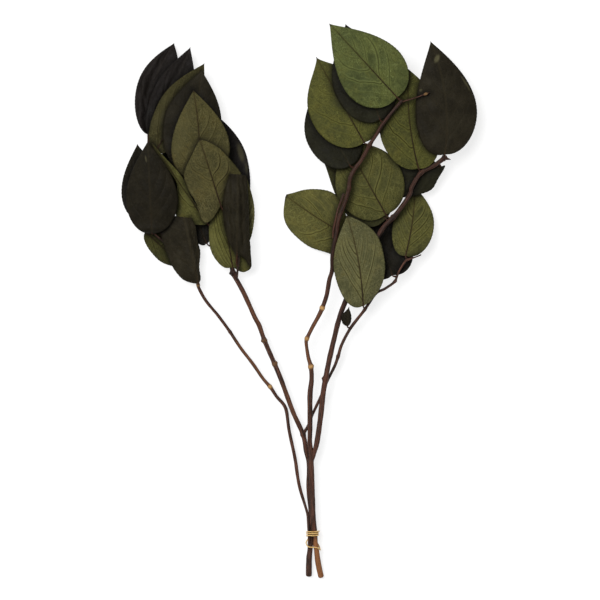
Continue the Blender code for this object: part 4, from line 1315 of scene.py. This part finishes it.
RIGHT_FORK = Strand(
    "right_fork",
    (
        (12.5, -148, 11.0, 1.6), (14.6, -140.5, 11.4, 2.15), (17.6, -129.5, 11.6, 2.45),
        (20.9, -106.5, 12.2, 2.5), (23.3, -85, 12.8, 2.5), (25.5, -71.5, 13.2, 2.4),
        (29, -53.6, 13.8, 2.45), (33.4, -34.6, 14.5, 2.35), (37.2, -18.5, 15.0, 2.35),
        (43, -1.7, 15.6, 2.4), (57, 29, 16.6, 2.3), (73, 58.5, 17.6, 2.2), (80, 69.5, 17.8, 2.15),
        (88, 77.5, 18.0, 2.15), (95.5, 87, 18.2, 2.05), (103, 98.5, 18.4, 2), (105, 105.5, 18.5, 1.95),
        (113, 118, 18.8, 1.9), (124.5, 124.5, 19.2, 1.9), (134.5, 131.5, 19.8, 2.1),
        (137, 131.3, 20.0, 1.3), (140.5, 130.5, 20.2, 0.3),
    ),
    (Node(25.5, -71.5, 0.0, 0.8), Node(88, 77.5, 0.0, 0.4), Node(113, 118), Node(134.5, 131.5, 0, 1.1)),
)
THIN = Strand(
    "thin",
    (
        (10.3, -222, 8.8, 1.15), (10.1, -214, 9.1, 1.2), (9.7, -205, 8.9, 1.2), (9, -196, 7.6, 1.25),
        (6.6, -187.5, 6.6, 1.3), (1.2, -168.9, 5.6, 1.55), (-2.8, -143.5, 5.2, 1.6), (-8, -119, 5.2, 1.55),
        (-11.2, -98.5, 5.4, 1.6), (-19.5, -87.5, 5.6, 1.55), (-25.5, -78.5, 5.8, 1.6),
        (-31.7, -71.4, 6.0, 1.55), (-41, -58, 6.4, 1.55), (-52.5, -43, 7.0, 1.5), (-62.5, -28, 7.6, 1.45),
        (-73, -13.5, 8.2, 1.4), (-84.5, 0.5, 8.9, 1.45), (-91, 12, 9.4, 1.5), (-92, 16, 9.6, 1.5),
        (-96, 27, 9.5, 1.1), (-105.5, 39, 9.3, 1.1), (-121, 53, 9.1, 1.1), (-127, 68, 9.0, 1.05),
        (-131, 88, 8.8, 1.0), (-133.5, 110, 8.7, 1.0), (-136, 130, 8.6, 1.0), (-137.5, 148, 8.6, 0.9),
    ),
    (Node(-25.5, -78.5, 0.75), Node(-62.5, -28), Node(-92, 16, 0.6), Node(-121, 53)),
    tan=((-79, -36, 1.9, 0.4),),
    around=16,
)
THIN_SIDE = Strand(
    "thin_side",
    (
        (-117.5, 50, 9.2, 0.6), (-123.5, 55, 9.2, 0.8), (-130, 60.5, 9.1, 0.85), (-135.5, 65.5, 9.0, 0.85),
        (-139, 69.5, 9.0, 1.1),
    ),
    around=12,
)

TIE_TURNS = (
    (0.0, -211.5, 0.0), (1.0, -213.2, 0.0), (2.0, -214.9, 0.0), (2.7, -216.2, 0.0), (3.0, -229.0, 0.0),
    (3.5, -223.5, 0.0), (3.58, -222.0, 1.45), (3.9, -211.6, 1.45), (3.94, -211.5, 1.45), (4.0, -211.5, 0.0),
)

UP = Face.UPPER
# The spots of leaves seen from below are painted highlights.
LEAVES = (
    Leaf("leaf_left_10", "left_arm", (-56, 80), (-77, 174), 22, 20.7, Tint.SLATE_BLACK, UP, widest=0.5,
         shoulder=2.0, spots=((-52.8, 137, 9, 2.6, 105, 0.45), (-47.5, 122, 6, 1.2, 95, 0.3))),
    Leaf("leaf_left_09", "left_arm", (-50, 51), (-47, 114), 7, 9, Tint.GREY_OLIVE, widest=0.45,
         foot=(-64, 45), shade=1.6),
    Leaf("leaf_left_16", "left_arm", (-84, 53.4), (-126.8, 152.3), 13, 13, Tint.BROWN_BLACK, UP,
         widest=0.35, foot=(-68, 55), lobe=4.0, skew=-3.0, shoulder=2.2, shade=0.6),
    Leaf("leaf_left_12", "thin_side", (-140, 76), (-148, 145), 20, 20, Tint.BROWN_BLACK, UP, widest=0.35,
         foot=(-138, 68), lobe=6.0),
    Leaf("leaf_left_13", "thin_side", (-140, 64), (-104, 31), 16, 11.3, Tint.OLIVE, widest=0.52,
         foot=(-135.5, 65.5), shade=0.6),
    Leaf("leaf_left_01", "thin", (-138, 154), (-114, 238), 14, 22, Tint.SLATE_BLACK, UP, widest=0.45, bow=8,
         shoulder=2.2, right_shoulder=2.6, ridges=0.9, shade=1.25),
    Leaf("leaf_left_02", "thin", (-134, 151), (-99, 234), 16, 22, Tint.SLATE_BLACK, UP, widest=0.45,
         ridges=0.7),
    Leaf("leaf_left_03", "thin", (-130.5, 138), (-86, 219), 19.5, 18.5, Tint.DULL_OLIVE, widest=0.48,
         lobe=4.0, shade=0.72, spots=((-123, 178, 24, 5, 66, 0.6),)),
    Leaf("leaf_left_04", "left_arm", (-101, 119), (-88, 212), 29, 25, Tint.BROWN_BLACK, UP, widest=0.45,
         shoulder=2.0),
    Leaf("leaf_left_05", "left_arm", (-91, 116), (-96, 194), 26, 28, Tint.DULL_OLIVE, widest=0.33, bow=-2.5,
         lobe=9.0, veined=0.6, spots=((-106, 158, 24, 7, 72, 0.4),)),
    Leaf("leaf_left_15", "left_arm", (-83.1, 71.8), (-134.1, 145.8), 18, 8, Tint.OLIVE, widest=0.45,
         foot=(-71.5, 66), spots=((-101, 93, 12, 3, 112, 0.5),), margins=(
             (0.04, -88.1, 70.4, -83.1, 74.1), (0.1, -101, 71.8, -85.8, 75.9),
             (0.2, -111.2, 76.8, -89.5, 83.3), (0.3, -113.2, 86.9, -94.4, 90.6),
             (0.4, -112.4, 97.5, -98.3, 97.5), (0.5, -110.7, 106.3, -101.5, 105.8),
             (0.62, -115.3, 115.9, -107.5, 116.4), (0.75, -123.1, 125.6, -117.1, 127.4),
             (0.88, -129.5, 135.2, -126.3, 137.1), (1, -134.3, 145.5, -133.8, 145.9))),
    Leaf("leaf_left_08", "left_arm", (-60, 31.5), (-72, 103), 18, 20.5, Tint.OLIVE, widest=0.33,
         foot=(-59.5, 28), acute=0.9, veins=5.0, fan=0.6, veined=1.3, shade=1.1,
         spots=((-54, 35, 10, 4.5, 25, 0.8), (-76, 52, 16, 3.5, 110, 0.5)), margins=(
             (0.03, -66.1, 30.8, -53.2, 27.6), (0.08, -73, 35.4, -46.3, 28.2),
             (0.14, -78, 42.3, -43.1, 31.3), (0.22, -81, 50.6, -43.1, 40), (0.32, -81.7, 58.9, -43.5, 51.1),
             (0.45, -81.7, 68.5, -45.4, 63), (0.58, -80.3, 77.7, -48.1, 75), (0.71, -78.5, 86, -52.7, 86),
             (0.83, -76.6, 93.4, -59.2, 94.3), (0.93, -74.3, 98.9, -65.6, 100.3),
             (1, -72.5, 102.6, -71.6, 102.9))),
    Leaf("leaf_left_11", "thin_side", (-134.1, 62.6), (-138, 147), 23, 25.5, Tint.BROWN_BLACK, UP,
         widest=0.38, spots=((-139.5, 131, 3.2, 0.8, 100, 0.5),)),
    Leaf("leaf_left_06", "left_shoot", (-70.7, 87.9), (-90, 149), 24, 26, Tint.DULL_OLIVE, widest=0.5,
         foot=(-64, 69), margins=(
             (0.03, -76.4, 79.1, -68.4, 87.9), (0.08, -84.9, 72.2, -63.3, 90.2),
             (0.15, -92.3, 86.9, -57.8, 94.3), (0.25, -98.3, 98.4, -53.6, 102.1),
             (0.35, -101.9, 106.3, -51.8, 109.9), (0.5, -104.7, 114.5, -52.7, 118.7),
             (0.65, -103.3, 121.9, -61, 129.3), (0.8, -98.7, 131.6, -72, 140.8),
             (0.92, -94.1, 141.2, -82.6, 146.7), (1, -90.3, 148.6, -89.6, 148.9))),
    Leaf("leaf_left_14", "thin", (-91.8, 17), (-104.7, 77.5), 21.5, 12.5, Tint.BROWN_BLACK, UP, widest=0.55,
         point=0.6, shade=1.4, ridges=0.5, margins=(
             (0.03, -94.6, 16.6, -90, 18.4), (0.1, -102.4, 18.4, -89.2, 22.1),
             (0.2, -109.8, 23.9, -90.2, 29), (0.32, -115.7, 32.2, -90, 37.3),
             (0.45, -119.9, 42.8, -89.5, 46.5), (0.58, -123.6, 52.9, -91.4, 54.3),
             (0.71, -125.4, 62.1, -92.9, 62.1), (0.83, -123.6, 70.4, -93.7, 68.5),
             (1, -115.7, 79.1, -98.3, 77))),
    Leaf("leaf_left_07", "left_shoot", (-55.9, 41.9), (-55, 116.8), 13.5, 12.5, Tint.BROWN_BLACK, UP,
         widest=0.55, point=0.5, foot=(-55.5, 33), shade=1.1, ridges=1.1, margins=(
             (0.03, -57.8, 44.2, -52.3, 41.9), (0.08, -60.1, 47.8, -48.1, 38.6),
             (0.14, -62.8, 52.9, -44.9, 33.1), (0.2, -64.7, 58, -42.6, 31.7), (0.3, -67, 65.3, -43.4, 47.4),
             (0.5, -69, 82.3, -44.6, 73.1), (0.7, -68.6, 93.8, -45.1, 87.9),
             (0.85, -66.5, 105.3, -46, 102.6), (1, -62.4, 117, -46.9, 115.6))),
    Leaf("leaf_right_11", "right_arm", (87, 24), (66, 87), 24, 26.8, Tint.BROWN_BLACK, UP, widest=0.38,
         lobe=8.6, shade=0.55),
    Leaf("leaf_right_10", "right_arm", (99, 42), (108, 106), 17.5, 20.5, Tint.OLIVE, widest=0.42, bow=-2,
         lobe=4.0, right_shoulder=2.2),
    Leaf("leaf_right_05", "right_fork", (81, 76), (24, 128), 22, 20, Tint.OLIVE, widest=0.3, point=1.25,
         shade=0.6),
    Leaf("leaf_right_13", "right_fork", (55, 56), (-10.9, 97.7), 27, 26, Tint.STRAW_OLIVE, widest=0.5,
         bow=2, point=0.65, margins=(
             (0.04, 54.5, 48.3, 52.6, 62.1), (0.12, 48.5, 41.9, 46.2, 75), (0.25, 37.4, 41.4, 38.8, 93.4),
             (0.4, 25, 45.5, 28.2, 102), (0.55, 12.1, 49.7, 15.8, 103.7), (0.7, 0.2, 58.1, 4.8, 102.8),
             (0.82, -8.6, 67.6, -2.6, 100.7), (0.92, -13.1, 80.5, -7.2, 99.5),
             (1, -11.5, 96.6, -10.5, 98.7))),
    Leaf("leaf_right_09", "right_fork", (131, 124), (76, 101), 17, 19, Tint.OLIVE_BLACK, UP, widest=0.42,
         margins=(
             (0.03, 135, 125.1, 125.3, 129.3), (0.1, 133.1, 119.1, 119.8, 132),
             (0.2, 129, 112.2, 112.4, 132.9), (0.32, 124.4, 104.1, 104.1, 131.6),
             (0.45, 116.1, 99.5, 95.9, 128.8), (0.58, 106.9, 97.1, 88.5, 124.2),
             (0.71, 97.7, 95.7, 83, 118.7), (0.83, 89, 95.7, 78.8, 112.7), (0.93, 81.6, 97.5, 76.1, 106.3),
             (1, 76.2, 100.4, 75.6, 101.8))),
    Leaf("leaf_right_06", "right_fork", (81, 80), (42.5, 148.5), 31, 32.5, Tint.OLIVE, widest=0.42,
         lobe=5.5, right_shoulder=2.2),
    Leaf("leaf_right_04", "main", (48, 125), (13, 188), 24.5, 25, Tint.OLIVE_BLACK, UP, widest=0.45,
         shoulder=2.2, point=1.0),
    Leaf("leaf_right_03", "main", (61, 146), (17, 225), 32.5, 29.5, Tint.YELLOW_OLIVE, widest=0.4, lobe=5.5,
         skew=2.0, shoulder=2.5, point=1.5),
    Leaf("leaf_right_07", "right_fork", (111, 122), (102, 213.5), 28.5, 28, Tint.YELLOW_OLIVE, widest=0.42,
         shade=0.85, bow=4, lobe=4.2, skew=-0.7, shoulder=2.2, right_shoulder=2.6),
    Leaf("leaf_right_02", "main", (75.5, 167), (44, 255), 31, 26, Tint.OLIVE_BLACK, UP, widest=0.42,
         lobe=5.0),
    Leaf("leaf_right_14", "right_arm", (45.5, -22.5), (47, -5), 6.2, 3.5, Tint.BROWN_BLACK, UP, widest=0.38,
         lobe=0.5, shoulder=2.2, point=1.6, rows=60, columns=21),
    Leaf("leaf_right_12", "right_arm", (60, -4), (45, 79), 23.5, 24, Tint.GREY_OLIVE, widest=0.45, bow=-3,
         lobe=1.0, skew=-6.2, right_shoulder=3.6, acute=0.62, veins=8.0),
    Leaf("leaf_right_08", "right_fork", (135, 135), (122, 239), 29, 28.3, Tint.BROWN_BLACK, UP, widest=0.37,
         bow=-7, lobe=4.8, skew=0.8, shade=1.2, spots=(
             (127.8, 223, 4.2, 2.2, 65, 0.8), (154.5, 200, 9, 0.8, -58, 0.5),
             (113, 194, 1.6, 1.0, 20, 0.7))),
    Leaf("leaf_right_01", "main", (91, 187.5), (29, 255), 31.5, 30, Tint.GREEN, widest=0.34, lobe=5.0,
         point=1.15),
)


def main() -> None:
    """Builds the stage, the branches, the leaves and the tie."""
    logging.basicConfig(level=logging.INFO, format="%(message)s")
    Studio().build()
    branches = (
        Branch("branch_left", (LEFT_ARM, LEFT_SHOOT, RIGHT_ARM), BarkFinish("bark_left"), 11),
        Branch("branch_right", (MAIN, TWIG, SIDE_TWIG, RIGHT_FORK), BarkFinish("bark_right"), 41),
        Branch("branch_thin", (THIN, THIN_SIDE), BarkFinish("bark_thin"), 71),
    )
    strands = {strand.name: strand for branch in branches for strand in branch.strands}
    rims = {leaf.name: leaf.edges() for leaf in LEAVES}
    stems = np.vstack([strand.edges() for strand in strands.values()])
    pieces = [branch.build(np.vstack(list(rims.values()))) for branch in branches]
    for leaf in LEAVES:
        others = [rims[name] for name in rims if name != leaf.name]
        pieces.append(leaf.build(strands, np.vstack([stems, *others])))
    pieces.append(Tie((LEFT_ARM, MAIN, THIN), TIE_TURNS).build(TieFinish("raffia")))
    for made in pieces:
        log.info("%s: %d faces", made.name, len(made.data.polygons))


if __name__ == "__main__":
    main()
